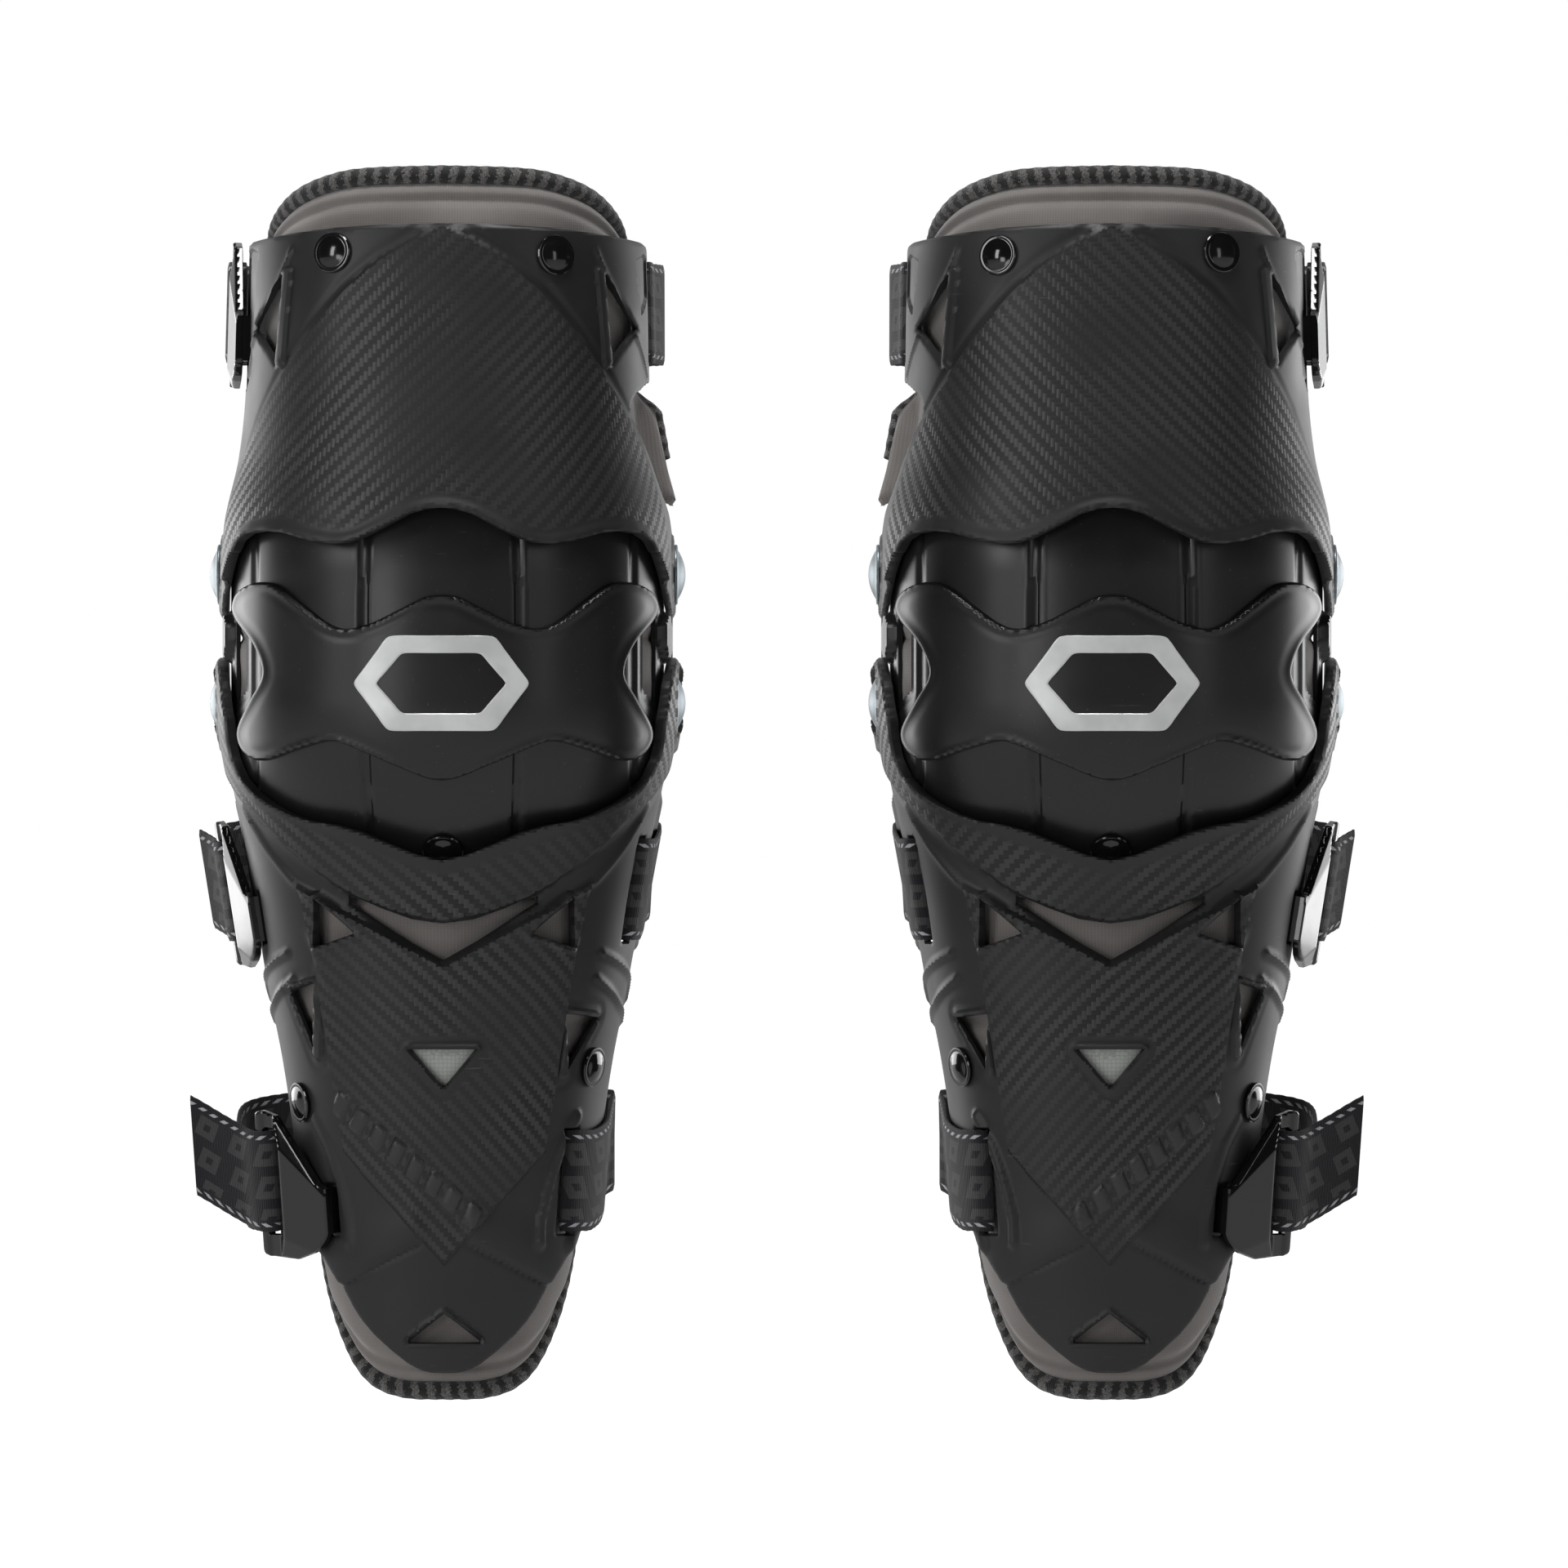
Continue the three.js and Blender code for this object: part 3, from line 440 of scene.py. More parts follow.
class Nodes:
    """Short hand for a material's nodes."""

    def __init__(self, name):
        self.material = bpy.data.materials.new(name)
        self.material.use_nodes = True
        self.tree = self.material.node_tree
        self.shader = self.tree.nodes["Principled BSDF"]

    def node(self, kind, **settings):
        node = self.tree.nodes.new(kind)
        for key, value in settings.items():
            setattr(node, key, value)
        return node

    def put(self, socket, value):
        if isinstance(value, bpy.types.NodeSocket):
            self.tree.links.new(value, socket)
        else:
            socket.default_value = value

    def math(self, operation, *values):
        node = self.node("ShaderNodeMath", operation=operation)
        for socket, value in zip(node.inputs, values):
            self.put(socket, value)
        return node.outputs[0]

    def plus(self, *terms):
        total = terms[0]
        for term in terms[1:]:
            total = self.math("ADD", total, term)
        return total

    def minus(self, a, b):
        return self.math("SUBTRACT", a, b)

    def times(self, *factors):
        product = factors[0]
        for factor in factors[1:]:
            product = self.math("MULTIPLY", product, factor)
        return product

    def over(self, a, b):
        return self.math("DIVIDE", a, b)

    def fract(self, value):
        return self.math("FRACT", value)

    def floor(self, value):
        return self.math("FLOOR", value)

    def sine(self, value):
        return self.math("SINE", value)

    def size(self, value):
        return self.math("ABSOLUTE", value)

    def ribs(self, distance, pitch):
        """A wave across fabric, -1 to 1, one to each pitch."""
        return self.sine(self.times(distance, 2 * math.pi / pitch))

    def attribute(self, name):
        node = self.node("ShaderNodeAttribute", attribute_name=name)
        return self.parts(node.outputs["Vector"])

    def parts(self, vector):
        node = self.node("ShaderNodeSeparateXYZ")
        self.put(node.inputs[0], vector)
        return node.outputs[0], node.outputs[1], node.outputs[2]

    def vector(self, x, y, z):
        node = self.node("ShaderNodeCombineXYZ")
        for socket, value in zip(node.inputs, (x, y, z)):
            self.put(socket, value)
        return node.outputs[0]

    def place(self):
        return self.node("ShaderNodeTexCoord").outputs["Object"]

    def noise(self, scale, detail=3.0, roughness=0.55, vector=None):
        node = self.node("ShaderNodeTexNoise")
        self.put(node.inputs["Vector"], self.place() if vector is None else vector)
        node.inputs["Scale"].default_value = scale
        node.inputs["Detail"].default_value = detail
        node.inputs["Roughness"].default_value = roughness
        return node.outputs["Fac"]

    def between(self, value, low, high, to_low=0.0, to_high=1.0, smooth=True):
        node = self.node("ShaderNodeMapRange", interpolation_type="SMOOTHSTEP" if smooth else "LINEAR")
        for socket, v in zip(node.inputs, (value, low, high, to_low, to_high)):
            self.put(socket, v)
        return node.outputs[0]

    def mix(self, factor, a, b):
        node = self.node("ShaderNodeMix", data_type="RGBA")
        self.put(node.inputs["Factor"], factor)
        for socket, colour in ((node.inputs["A"], a), (node.inputs["B"], b)):
            self.put(socket, colour if isinstance(colour, bpy.types.NodeSocket) else (*colour, 1.0))
        return node.outputs["Result"]

    def mix_value(self, factor, a, b):
        node = self.node("ShaderNodeMix", data_type="FLOAT")
        for socket, value in zip(node.inputs[:1] + node.inputs[2:4], (factor, a, b)):
            self.put(socket, value)
        return node.outputs[0]

    def bump(self, height, strength, distance, normal=None):
        node = self.node("ShaderNodeBump")
        node.inputs["Strength"].default_value = strength
        node.inputs["Distance"].default_value = distance
        self.put(node.inputs["Height"], height)
        if normal is not None:
            self.put(node.inputs["Normal"], normal)
        return node.outputs[0]

    def finish(self, colour=None, roughness=None, normal=None, **fixed):
        if colour is not None:
            self.put(self.shader.inputs["Base Color"],
                     colour if isinstance(colour, bpy.types.NodeSocket) else (*colour, 1.0))
        if roughness is not None:
            self.put(self.shader.inputs["Roughness"], roughness)
        if normal is not None:
            self.put(self.shader.inputs["Normal"], normal)
        for key, value in fixed.items():
            self.shader.inputs[key.replace("_", " ")].default_value = value
        return self.material


def scratches(m):
    """Fine long scratches and dust, 0 to 1."""
    x, y, z = m.parts(m.place())
    stretched = m.vector(m.times(x, 60.0), m.times(y, 60.0), m.times(z, 900.0))
    turned = m.node("ShaderNodeVectorRotate", rotation_type="Y_AXIS")
    m.put(turned.inputs["Vector"], stretched)
    turned.inputs["Angle"].default_value = 0.9
    fine = m.noise(1.0, 2.0, 0.5, turned.outputs[0])
    patchy = m.between(m.noise(38.0, 2.0), 0.56, 0.7)
    return m.times(m.between(fine, 0.69, 0.74), patchy)


def moulded_material(name, twill_way):
    """Dark moulded plastic. Where the attribute's third value is 1 its face carries a woven twill whose over
    threads are coloured lighter and under threads darker as a painted sheen, and where it is -1 the face is
    smooth and a little paler."""
    m = Nodes(name)
    u, v, mask = m.attribute("weave")
    a, b = m.over(u, TWILL_CELL), m.over(v, TWILL_CELL)
    row, column = m.floor(a), m.floor(b)
    total = m.math("ADD" if twill_way > 0 else "SUBTRACT", row, column)
    over = m.math("LESS_THAN", m.math("FLOORED_MODULO", m.plus(total, 400.0), 4.0), 2.0)
    across = m.minus(m.fract(a), 0.5)
    along = m.minus(m.fract(b), 0.5)
    crown_a, crown_b = (m.minus(1.0, m.times(m.math("POWER", way, 2.0), 3.4)) for way in (across, along))
    crown = m.mix_value(over, m.times(crown_b, 0.62), crown_a)
    fibre_a, fibre_b = (m.sine(m.times(way, 44.0)) for way in (a, b))
    fibre = m.mix_value(over, fibre_b, fibre_a)
    clear = m.between(m.noise(22.0, 2.0), 0.36, 0.62, 0.35, 1.0)
    woven = m.times(m.math("MAXIMUM", mask, 0.0), clear)
    smooth = m.between(mask, -0.3, -0.8)
    grain = m.noise(2600.0, 2.0, 0.6)
    blotch = m.noise(26.0, 4.0)
    wear = scratches(m)
    plain = m.mix(m.between(blotch, 0.35, 0.7), (0.0135, 0.0135, 0.0137), (0.018, 0.018, 0.0182))
    # Painted sheen on the twill: the weave is real, but its over threads are coloured lighter and its under
    # threads darker, standing in for light catching the weave.
    twill_painted_sheen = m.mix(over, (0.0095, 0.0095, 0.0098), (0.034, 0.034, 0.0345))
    colour = m.mix(smooth, m.mix(woven, plain, twill_painted_sheen), (0.027, 0.027, 0.0272))
    colour = m.mix(m.times(wear, 0.35), colour, (0.12, 0.12, 0.12))
    rough = m.mix_value(woven, m.between(blotch, 0.3, 0.7, 0.44, 0.52), m.mix_value(over, 0.58, 0.38))
    rough = m.mix_value(smooth, rough, 0.4)
    relief = m.plus(m.times(crown, woven), m.times(fibre, woven, 0.05))
    normal = m.bump(relief, 0.55, 0.00022)
    normal = m.bump(grain, 0.16, 0.00008, normal)
    return m.finish(colour, rough, normal, Specular_IOR_Level=0.42)


def satin_material():
    m = Nodes("satin_plastic")
    blotch = m.noise(30.0, 4.0)
    wear = scratches(m)
    speck = m.between(m.noise(900.0, 1.0), 0.74, 0.78)
    colour = m.mix(blotch, (0.008, 0.008, 0.0083), (0.0115, 0.0115, 0.0118))
    colour = m.mix(m.times(m.plus(wear, speck), 0.25), colour, (0.14, 0.14, 0.14))
    rough = m.between(blotch, 0.3, 0.7, 0.3, 0.37)
    normal = m.bump(m.noise(2200.0, 2.0), 0.12, 0.00006)
    return m.finish(colour, rough, normal, Specular_IOR_Level=0.45)


def gloss_material():
    m = Nodes("gloss_plastic")
    blotch = m.noise(60.0, 3.0)
    colour = m.mix(blotch, (0.004, 0.004, 0.0045), (0.007, 0.007, 0.0075))
    rough = m.between(blotch, 0.3, 0.75, 0.1, 0.17)
    normal = m.bump(m.noise(160.0, 2.0), 0.05, 0.0002)
    return m.finish(colour, rough, normal, Specular_IOR_Level=0.5, Coat_Weight=0.2, Coat_Roughness=0.05)


def cloth_material():
    """Taupe stretch cloth with fine ribs that run round the leg."""
    m = Nodes("stretch_cloth")
    u, v, _ = m.attribute("weave")
    wobble = m.times(m.noise(40.0, 1.0), 0.9)
    rib = m.ribs(m.plus(u, wobble), 1.15)
    thread = m.ribs(v, 0.7)
    knit = m.plus(m.times(rib, 0.55), m.times(thread, 0.45))
    blotch = m.noise(48.0, 4.0)
    colour = m.mix(m.between(knit, -1.0, 1.0), (0.19, 0.175, 0.167), (0.232, 0.215, 0.206))
    colour = m.mix(m.times(m.between(blotch, 0.3, 0.75), 0.35), colour, (0.14, 0.128, 0.122))
    normal = m.bump(knit, 0.25, 0.00016)
    normal = m.bump(m.noise(140.0, 3.0), 0.3, 0.0005, normal)
    return m.finish(colour, m.between(blotch, 0.3, 0.7, 0.78, 0.9), normal, Specular_IOR_Level=0.25,
                    Sheen_Weight=0.35, Sheen_Roughness=0.5)


def binding_material():
    """Knitted binding with slanting stripes."""
    m = Nodes("striped_binding")
    s, a, _ = m.attribute("cord")
    fuzz = m.times(m.minus(m.noise(700.0, 2.0), 0.5), 0.9)
    turn = m.plus(m.over(s, STRIPE_PITCH), m.times(a, 0.62), fuzz)
    stripe = m.between(m.size(m.minus(m.fract(turn), 0.5)), 0.2, 0.29)
    fibre = m.noise(1500.0, 3.0, 0.7)
    dark = m.mix(fibre, (0.006, 0.006, 0.007), (0.022, 0.022, 0.024))
    light = m.mix(m.between(fibre, 0.35, 0.7), (0.06, 0.057, 0.055), (0.19, 0.183, 0.178))
    height = m.plus(m.times(fibre, 0.8), m.times(m.ribs(s, 0.75), 0.16), m.times(stripe, 0.35))
    return m.finish(m.mix(stripe, light, dark), 0.92, m.bump(height, 0.8, 0.0005),
                    Specular_IOR_Level=0.15, Sheen_Weight=0.25, Sheen_Roughness=0.6)


def webbing_material():
    """Black elastic webbing with grey woven blocks and a pale stitch along each edge."""
    m = Nodes("elastic_webbing")
    s, v, _ = m.attribute("strap")
    side = m.size(v)
    cell_s = m.minus(m.fract(m.over(s, BLOCK[0])), 0.5)
    cell_v = m.minus(m.fract(m.over(m.plus(v, 100.0), BLOCK[1])), 0.5)
    lean = m.plus(cell_s, m.times(cell_v, 0.35))
    far = m.math("MAXIMUM", m.times(m.size(lean), 1.25), m.size(cell_v))
    block = m.times(m.between(far, 0.36, 0.33), m.between(far, 0.1, 0.13), m.between(side, 15.6, 15.0))
    slant = m.plus(s, m.times(side, 1.6))
    dash = m.size(m.minus(m.fract(m.over(slant, STITCH)), 0.5))
    stitch = m.times(m.between(m.size(m.minus(side, 17.4)), 0.95, 0.55), m.between(dash, 0.27, 0.2))
    fibre = m.noise(1400.0, 3.0, 0.7)
    black = m.mix(fibre, (0.004, 0.004, 0.006), (0.014, 0.014, 0.018))
    grey = m.mix(fibre, (0.025, 0.024, 0.025), (0.062, 0.06, 0.06))
    colour = m.mix(block, black, grey)
    pale = m.mix(fibre, (0.3, 0.3, 0.33), (0.62, 0.62, 0.66))
    colour = m.mix(m.times(stitch, 0.9), colour, pale)
    height = m.plus(m.times(m.ribs(s, 0.9), 0.3), m.times(m.ribs(v, 0.7), 0.12), m.times(block, 0.5),
                    m.times(stitch, 1.2))
    return m.finish(colour, 0.9, m.bump(height, 0.6, 0.0003), Specular_IOR_Level=0.2,
                    Sheen_Weight=0.2, Sheen_Roughness=0.6)


def rivet_material():
    m = Nodes("zinc_rivet")
    brushed = m.noise(420.0, 3.0)
    colour = m.mix(m.between(brushed, 0.3, 0.7), (0.2, 0.235, 0.255), (0.27, 0.31, 0.33))
    return m.finish(colour, m.between(brushed, 0.3, 0.7, 0.36, 0.46), m.bump(brushed, 0.03, 0.0001),
                    Metallic=0.6, Specular_IOR_Level=0.3)


def print_material():
    m = Nodes("silver_print")
    grain = m.noise(1800.0, 2.0)
    blotch = m.noise(45.0, 3.0)
    colour = m.mix(m.between(blotch, 0.3, 0.7), (0.60, 0.61, 0.61), (0.76, 0.77, 0.77))
    return m.finish(colour, m.between(grain, 0.3, 0.7, 0.34, 0.46), m.bump(grain, 0.1, 0.00005),
                    Metallic=0.25, Specular_IOR_Level=0.5)


def reflector_material():
    """Pale reflective sheet with its fine honeycomb."""
    m = Nodes("reflective_sheet")
    cells = m.node("ShaderNodeTexVoronoi", feature="DISTANCE_TO_EDGE")
    m.put(cells.inputs["Vector"], m.place())
    cells.inputs["Scale"].default_value = 620.0
    cells.inputs["Randomness"].default_value = 0.25
    edge = m.between(cells.outputs["Distance"], 0.03, 0.12)
    colour = m.mix(edge, (0.33, 0.35, 0.33), (0.45, 0.47, 0.44))
    return m.finish(colour, 0.38, m.bump(edge, 0.25, 0.0001), Metallic=0.2, Specular_IOR_Level=0.5)


# ---- Unrolled walls ----

class Wall:
    """A section's wall laid flat: distance round it from the middle of the front, and height."""

    def __init__(self, section, limit, middle, step):
        self.section = section
        fine = np.linspace(-limit, limit, 2401)
        path = on(section, fine, np.full(len(fine), float(middle)))
        run = distances(path)
        self.fine, self.run = fine, run - run[-1] / 2
        stops = np.linspace(self.run[0], self.run[-1], int(run[-1] / step) + 1)
        self.turns = np.interp(stops, self.run, fine)

    def round(self, t):
        return np.interp(t, self.fine, self.run)

    def turn(self, x, z, offset=SHELL):
        """A front x. One that is past the widest place is that far behind it."""
        w, _ = SECTION[self.section](z, offset)
        over = np.maximum(np.abs(x) - w, 0)
        return turn_at(self.section, x, z, offset) + np.sign(x) * over / REAR_RUN

    def line(self, points):
        p = np.asarray(points, float)
        return list(zip(self.round(self.turn(p[:, 0], p[:, 1])), p[:, 1]))

    def from_middle(self, base):
        """Distance round the wall from the middle of the front to places on it."""
        t = self.turn(base[:, 0], base[:, 2], 0.0)
        t = np.where(base[:, 1] > 0, np.sign(base[:, 0]) * (1 + base[:, 1] / REAR_RUN), t)
        return np.abs(self.round(t))


def ridge(d, half_width, height, soft=0.5):
    return height * ease(half_width + soft, half_width - soft, d)


def raised(d, height, soft=0.6):
    return height * ease(-soft, soft, d)


def bevel(d, low, high, height):
    """Rises in a straight slope between two distances."""
    return height * np.clip((d - low) / (high - low), 0, 1)


def plate_hole(base, seat, half_long, half_high, above=0.0):
    """Distance outside a slot cut square to the wall at a seat."""
    point, tangent, normal, up = seat
    away = base - point
    along, rise, out = away @ tangent, away @ up, away @ normal
    d = np.maximum(np.abs(along) - half_long, np.abs(rise - above) - half_high)
    return np.where(np.abs(out) < 14, d, 50.0)


def round_hole(base, seat, radius):
    point, tangent, normal, up = seat
    away = base - point
    d = np.hypot(away @ tangent, away @ up) - radius
    return np.where(np.abs(away @ normal) < 14, d, 50.0)


def snap_seat(name):
    section, x, z = SNAPS[name]
    offset = 0.0 if section == "knee" else SHELL
    return frame_at(section, turn_at(section, float(x), float(z), offset), float(z), offset)


def pivot_frame(section, strap):
    """The clip's frame on the side where x is positive. Clips sit on the other side."""
    return frame_at(section, strap["pivot"], strap["z"], SHELL / 2)


def mirror_frame(seat):
    """The same frame on the outer side, its tangent still running to the rear."""
    flip = np.array([-1.0, 1.0, 1.0])
    return tuple(v * flip for v in seat)


def snaps_of(section):
    return [name for name, (where, _, _) in SNAPS.items() if where == section]


def fastener_seats(out, base, t, section, axis):
    """Takes the relief away under the caps of the rivets and snaps, and puts a ring round each rivet."""
    from_axis = np.hypot(base[:, 1], base[:, 2] - axis)
    flat = np.where(np.abs(t) > 0.8, ease(RIVET_CAP + 0.6, RIVET_CAP + 3, from_axis), 1.0)
    for name in snaps_of(section):
        flat = flat * ease(SNAP_CAP + 0.4, SNAP_CAP + 2, round_hole(base, snap_seat(name), 0.0))
    ring = np.where(np.abs(t) > 0.85, ridge(np.abs(from_axis - RIVET_CAP - 3.2), 0.8, 0.8, 0.4), 0)
    return SHELL + (out - SHELL) * flat + ring


def shell_holes(base, section, straps, axis):
    """Distance outside a shell's nearest hinge hole, strap slot, clip slot or snap hole."""
    d = np.hypot(base[:, 1], base[:, 2] - axis) - PIVOT_HOLE
    d = np.where(np.abs(base[:, 0]) > 70, d, 50.0)
    for name in straps:
        strap = STRAPS[name]
        d = np.minimum(d, plate_hole(base, frame_at(section, strap["slot"], strap["z"], 0.0), 3.9, 21.0))
        d = np.minimum(d, plate_hole(base, mirror_frame(pivot_frame(section, strap)), 3.4, 10.5, -11.5))
    for name in snaps_of(section):
        d = np.minimum(d, round_hole(base, snap_seat(name), SNAP_HOLE))
    return d


# ---- Thigh shell ----

THIGH_FRONT = both([(0, 352.5), (6, 351.8), (12, 350), (22, 344.6), (30, 340.6), (36, 338.8), (42, 338.6),
                    (50, 340), (60, 343.2), (68, 344), (74, 343.2), (78, 340.6), (81, 335), (81, 300),
                    (98, 300), (98, 459), (78, 459), (60, 461), (40, 463), (20, 463.9), (0, 464.2)])
PETAL = [(0, 464.5), (7, 461.5), (17.5, 455.1), (25, 450.4), (31.8, 444.9), (38.4, 438.8), (44.5, 431.9),
         (50.5, 424.6), (56, 416.8), (61.2, 409), (65.9, 401), (71.3, 391), (76.3, 379.1), (79.6, 370.4),
         (83, 359.6), (86.5, 345), (88, 325)]
VENT = [(61, 446), (64, 410), (74, 425)]


def thigh_side(between):
    return [(-200, 336), (-40, 336), (-26, 322), (-20, 316.5), (-14, 313), (-7, 310.6), (0, 310),
            (7, 311.4), (12, 314.5), (16, 319.5), (17.5, 326), (17, 334), (14, 341), *between, (28, 405),
            (29, 457), (26, 461.5), (12, 464), (-20, 500), (-200, 500)]


THIGH_OUTER = thigh_side([(12, 366), (17, 392)])
THIGH_INNER = thigh_side([(2, 352), (-8, 355.5), (-16, 360), (-20, 366), (-23, 371.5), (-30, 379),
                          (-36, 385), (-39.6, 389.5), (-40.2, 392.5), (-38, 395.5), (-33, 398.5),
                          (-20, 402), (0, 404.5)])


def thigh_shell():
    wall = Wall("thigh", 1.36, 400, 1.15)
    petal = wall.line(PETAL)
    vent = wall.line(VENT)
    lip = wall.line(THIGH_FRONT[:13])
    rib = wall.line([(60, 454.5), (61.5, 450.5), (65, 443), (69.6, 433.6), (73, 427), (75.6, 420.5),
                     (77.6, 413.5), (79, 406)])

    def field(base, t):
        x, y, z = base.T
        d = np.minimum(inside(x, z, THIGH_FRONT),
                       np.where(x < 0, inside(y, z, THIGH_OUTER), inside(y, z, THIGH_INNER)))
        front = y < 0
        for sign in (1, -1):
            d = np.where(front, np.minimum(d, -inside(sign * x, z, VENT)), d)
        return np.minimum(d, shell_holes(base, "thigh", ["thigh"], UPPER_AXIS_Z))

    whole_petal = petal + [(-60, 300), (-60, 464.5)]
    pocket = [(93, 455), (104, 457), (128, 456), (128, 402), (112, 400), (100, 408)]
    bay = [(96, 452), (112, 455), (124, 454), (124, 438), (104, 430)]

    def creases(base, s):
        a, z = np.abs(s), base[:, 2]
        return [(inside(a, z, whole_petal), (0.0, 1.2)), (-inside(a, z, vent), (1.3, 2.5)),
                (np.where(s < 0, inside(a, z, pocket), inside(a, z, bay)), (0.0, 1.2))]

    def outer(base, t):
        z = base[:, 2]
        s = wall.round(t)
        a = np.abs(s)
        within = inside(a, z, whole_petal)
        out = SHELL + bevel(within, 0.0, 1.2, 1.6) - ridge(np.abs(within + 2.6), 1.2, 0.5, 1.2)
        low = line_distance(a, z, lip)
        out += 1.4 * ease(5.5, 0.5, low) - ridge(np.abs(low - 7.2), 0.5, 0.3, 0.9)
        hole = -inside(a, z, vent)
        out += bevel(-hole, -2.5, -1.3, 1.2) * ease(1, -1, within)
        wing = (1 - ease(-1, 1, within)) * ease(1.12, 1.08, np.abs(t))
        out += wing * ridge(line_distance(a, z, rib), 0.8, 1.2, 1.2)
        sunk = np.where(s < 0, inside(a, z, pocket), inside(a, z, bay))
        out -= bevel(sunk, 0.0, 1.2, 1.1)
        top = np.abs(464 - z)
        out += wing * ridge(np.abs(top - 2.4), 0.7, 0.3)
        return fastener_seats(out, base, t, "thigh", UPPER_AXIS_Z)

    def paint(base):
        a = wall.from_middle(base)
        low = line_distance(a, base[:, 2], lip)
        return ease(1.5, 2.4, inside(a, base[:, 2], whole_petal)) * ease(4.6, 6.4, low)

    return skin("thigh", wall.turns, np.arange(307.5, 467, 1.15), field, outer, 0.0, rim=1.1, paint=paint,
                creases=(wall, creases))


# ---- Knee cup, band and emblem ----

CUP_SIDE = [(-200, 204), (-46, 204), (-40, 222), (-30, 240), (-16, 255), (0, 257), (14, 263), (18, 269.5),
            (19.5, 277), (19.5, 328), (18, 335), (14, 342), (0, 348), (-16, 352), (-34, 374), (-50, 392),
            (-200, 392)]
CUP_WINDOW = [(-42, 282), (-25, 275), (-25, 311), (-42, 304)]
BAND = flow(both([(0, 246), (19, 252.4), (38, 260.5), (46, 261), (58, 257.4), (68, 254), (75, 255),
                  (79.4, 260), (80, 267), (74.5, 278), (69.5, 288), (73, 299), (80.5, 309), (82.4, 315),
                  (79.5, 321), (72, 324), (64, 322.4), (54, 315), (44, 307.6), (36, 305.4), (26, 308),
                  (14, 314), (5, 318)]), True, 5)
HEXAGON = [(-1, 0), (-0.6, -1), (0.6, -1), (1, 0), (0.6, 1), (-0.6, 1)]


def cup_heights(low, high, step):
    """Heights at even steps along the dome, which slopes away above and below the axes."""
    at = [low]
    while at[-1] < high:
        z = at[-1]
        beyond = max(z - UPPER_AXIS_Z, LOWER_AXIS_Z - z, 0) / CUP_SIZE
        at.append(z + step * math.sqrt(max(1 - min(beyond, 0.99) ** 2, 0.15)))
    return np.array(at)


def knee_cup():
    wall = Wall("knee", 1.24, 300, 1.3)

    def field(base, t):
        x, y, z = base.T
        d = np.minimum(inside(y, z, CUP_SIDE), -inside(y, z, CUP_WINDOW))
        for axis in (LOWER_AXIS_Z, UPPER_AXIS_Z):
            hole = np.hypot(y, z - axis) - PIVOT_HOLE
            d = np.where(np.abs(x) > 60, np.minimum(d, hole), d)
        return np.minimum(d, round_hole(base, snap_seat("knee_snap"), SNAP_HOLE))

    def channel(x, z):
        return np.abs(x) - (30.5 - 0.0003 * (z - 300) ** 2)

    def creases(base, s):
        x, _, z = base.T
        return [(channel(x, z), (-2.2, -1.0, 1.0, 2.2)), (np.abs(x) - 74.5, (-1.6, -0.5, 0.5, 1.6))]

    def outer(base, t):
        x, y, z = base.T
        px = np.abs(x)
        span = ease(206, 214, z) * ease(372, 362, z)
        middle = np.abs(channel(x, z))
        out = (ridge(np.abs(middle - 3.4), 0.2, 0.3, 1.0) - bevel(-middle, -2.2, -1.0, 1.2)) * span
        out -= bevel(-np.abs(px - 74.5), -1.6, -0.5, 0.9) * span * ease(10, -5, y)
        arms = np.minimum(np.hypot(y, z - LOWER_AXIS_Z), np.hypot(y, z - UPPER_AXIS_Z)) - 20.0
        waist = inside(y, z, [(-23.5, 300), (-19, 293), (21, 293), (21, 313), (-19, 313), (-23.5, 308)])
        out += np.where(np.abs(x) > 60, raised(np.minimum(arms, waist - 0.7), 3.4, 0.9), 0)
        peak = [(-8.5, 216.5), (-7, 219.5), (0, 227), (7, 219.5), (8.5, 216.5)]
        out += np.where(y < -20, ridge(line_distance(x, z, peak), 0.5, 0.5, 0.35), 0)
        from_snap = round_hole(base, snap_seat("knee_snap"), 0.0)
        out = out * ease(SNAP_CAP + 0.4, SNAP_CAP + 1.6, from_snap)
        from_window = -inside(y, z, CUP_WINDOW)
        return out - ridge(np.abs(from_window - 2.2), 1.4, 0.5)

    heights = cup_heights(203, 393, 1.25)
    return skin("knee", wall.turns, heights, field, outer, -SHELL, rim=1.0, creases=(wall, creases))


def knee_band():
    wall = Wall("knee", 0.92, 300, 1.1)

    def field(base, t):
        return np.where(base[:, 1] < 0, inside(base[:, 0], base[:, 2], BAND), -1)

    def outer(base, t):
        x, _, z = base.T
        d = inside(x, z, BAND)
        clear = 1 - ease(266, 258, z) * ease(20, 8, np.abs(x)) * 0.8
        edge = ridge(np.abs(d - 1.3), 0.5, 0.3, 0.6) - ridge(np.abs(d - 3.6), 1.2, 0.15, 1.4)
        return BAND_LIFT + BAND_THICKNESS + clear * edge

    heights = cup_heights(243, 328, 1.05)
    return skin("knee", wall.turns, heights, field, outer, BAND_LIFT, rim=1.2)


def knee_emblem():
    wall = Wall("knee", 0.5, EMBLEM_Z, 0.5)

    def hexagon(half_wide, half_high):
        corners = [(x * half_wide * 0.98, EMBLEM_Z + z * half_high * 0.98) for x, z in dense(HEXAGON, 5)]
        return flow(corners, True, 2)

    rim, hole = (hexagon(*half) for half in EMBLEM_RINGS)

    def field(base, t):
        x, _, z = base.T
        return np.minimum(inside(x, z, rim), -inside(x, z, hole))

    def outer(base, t):
        return np.full(len(base), 3.62)

    return skin("knee", wall.turns, cup_heights(263, 306, 0.5), field, outer, 3.0, rim=0.25)


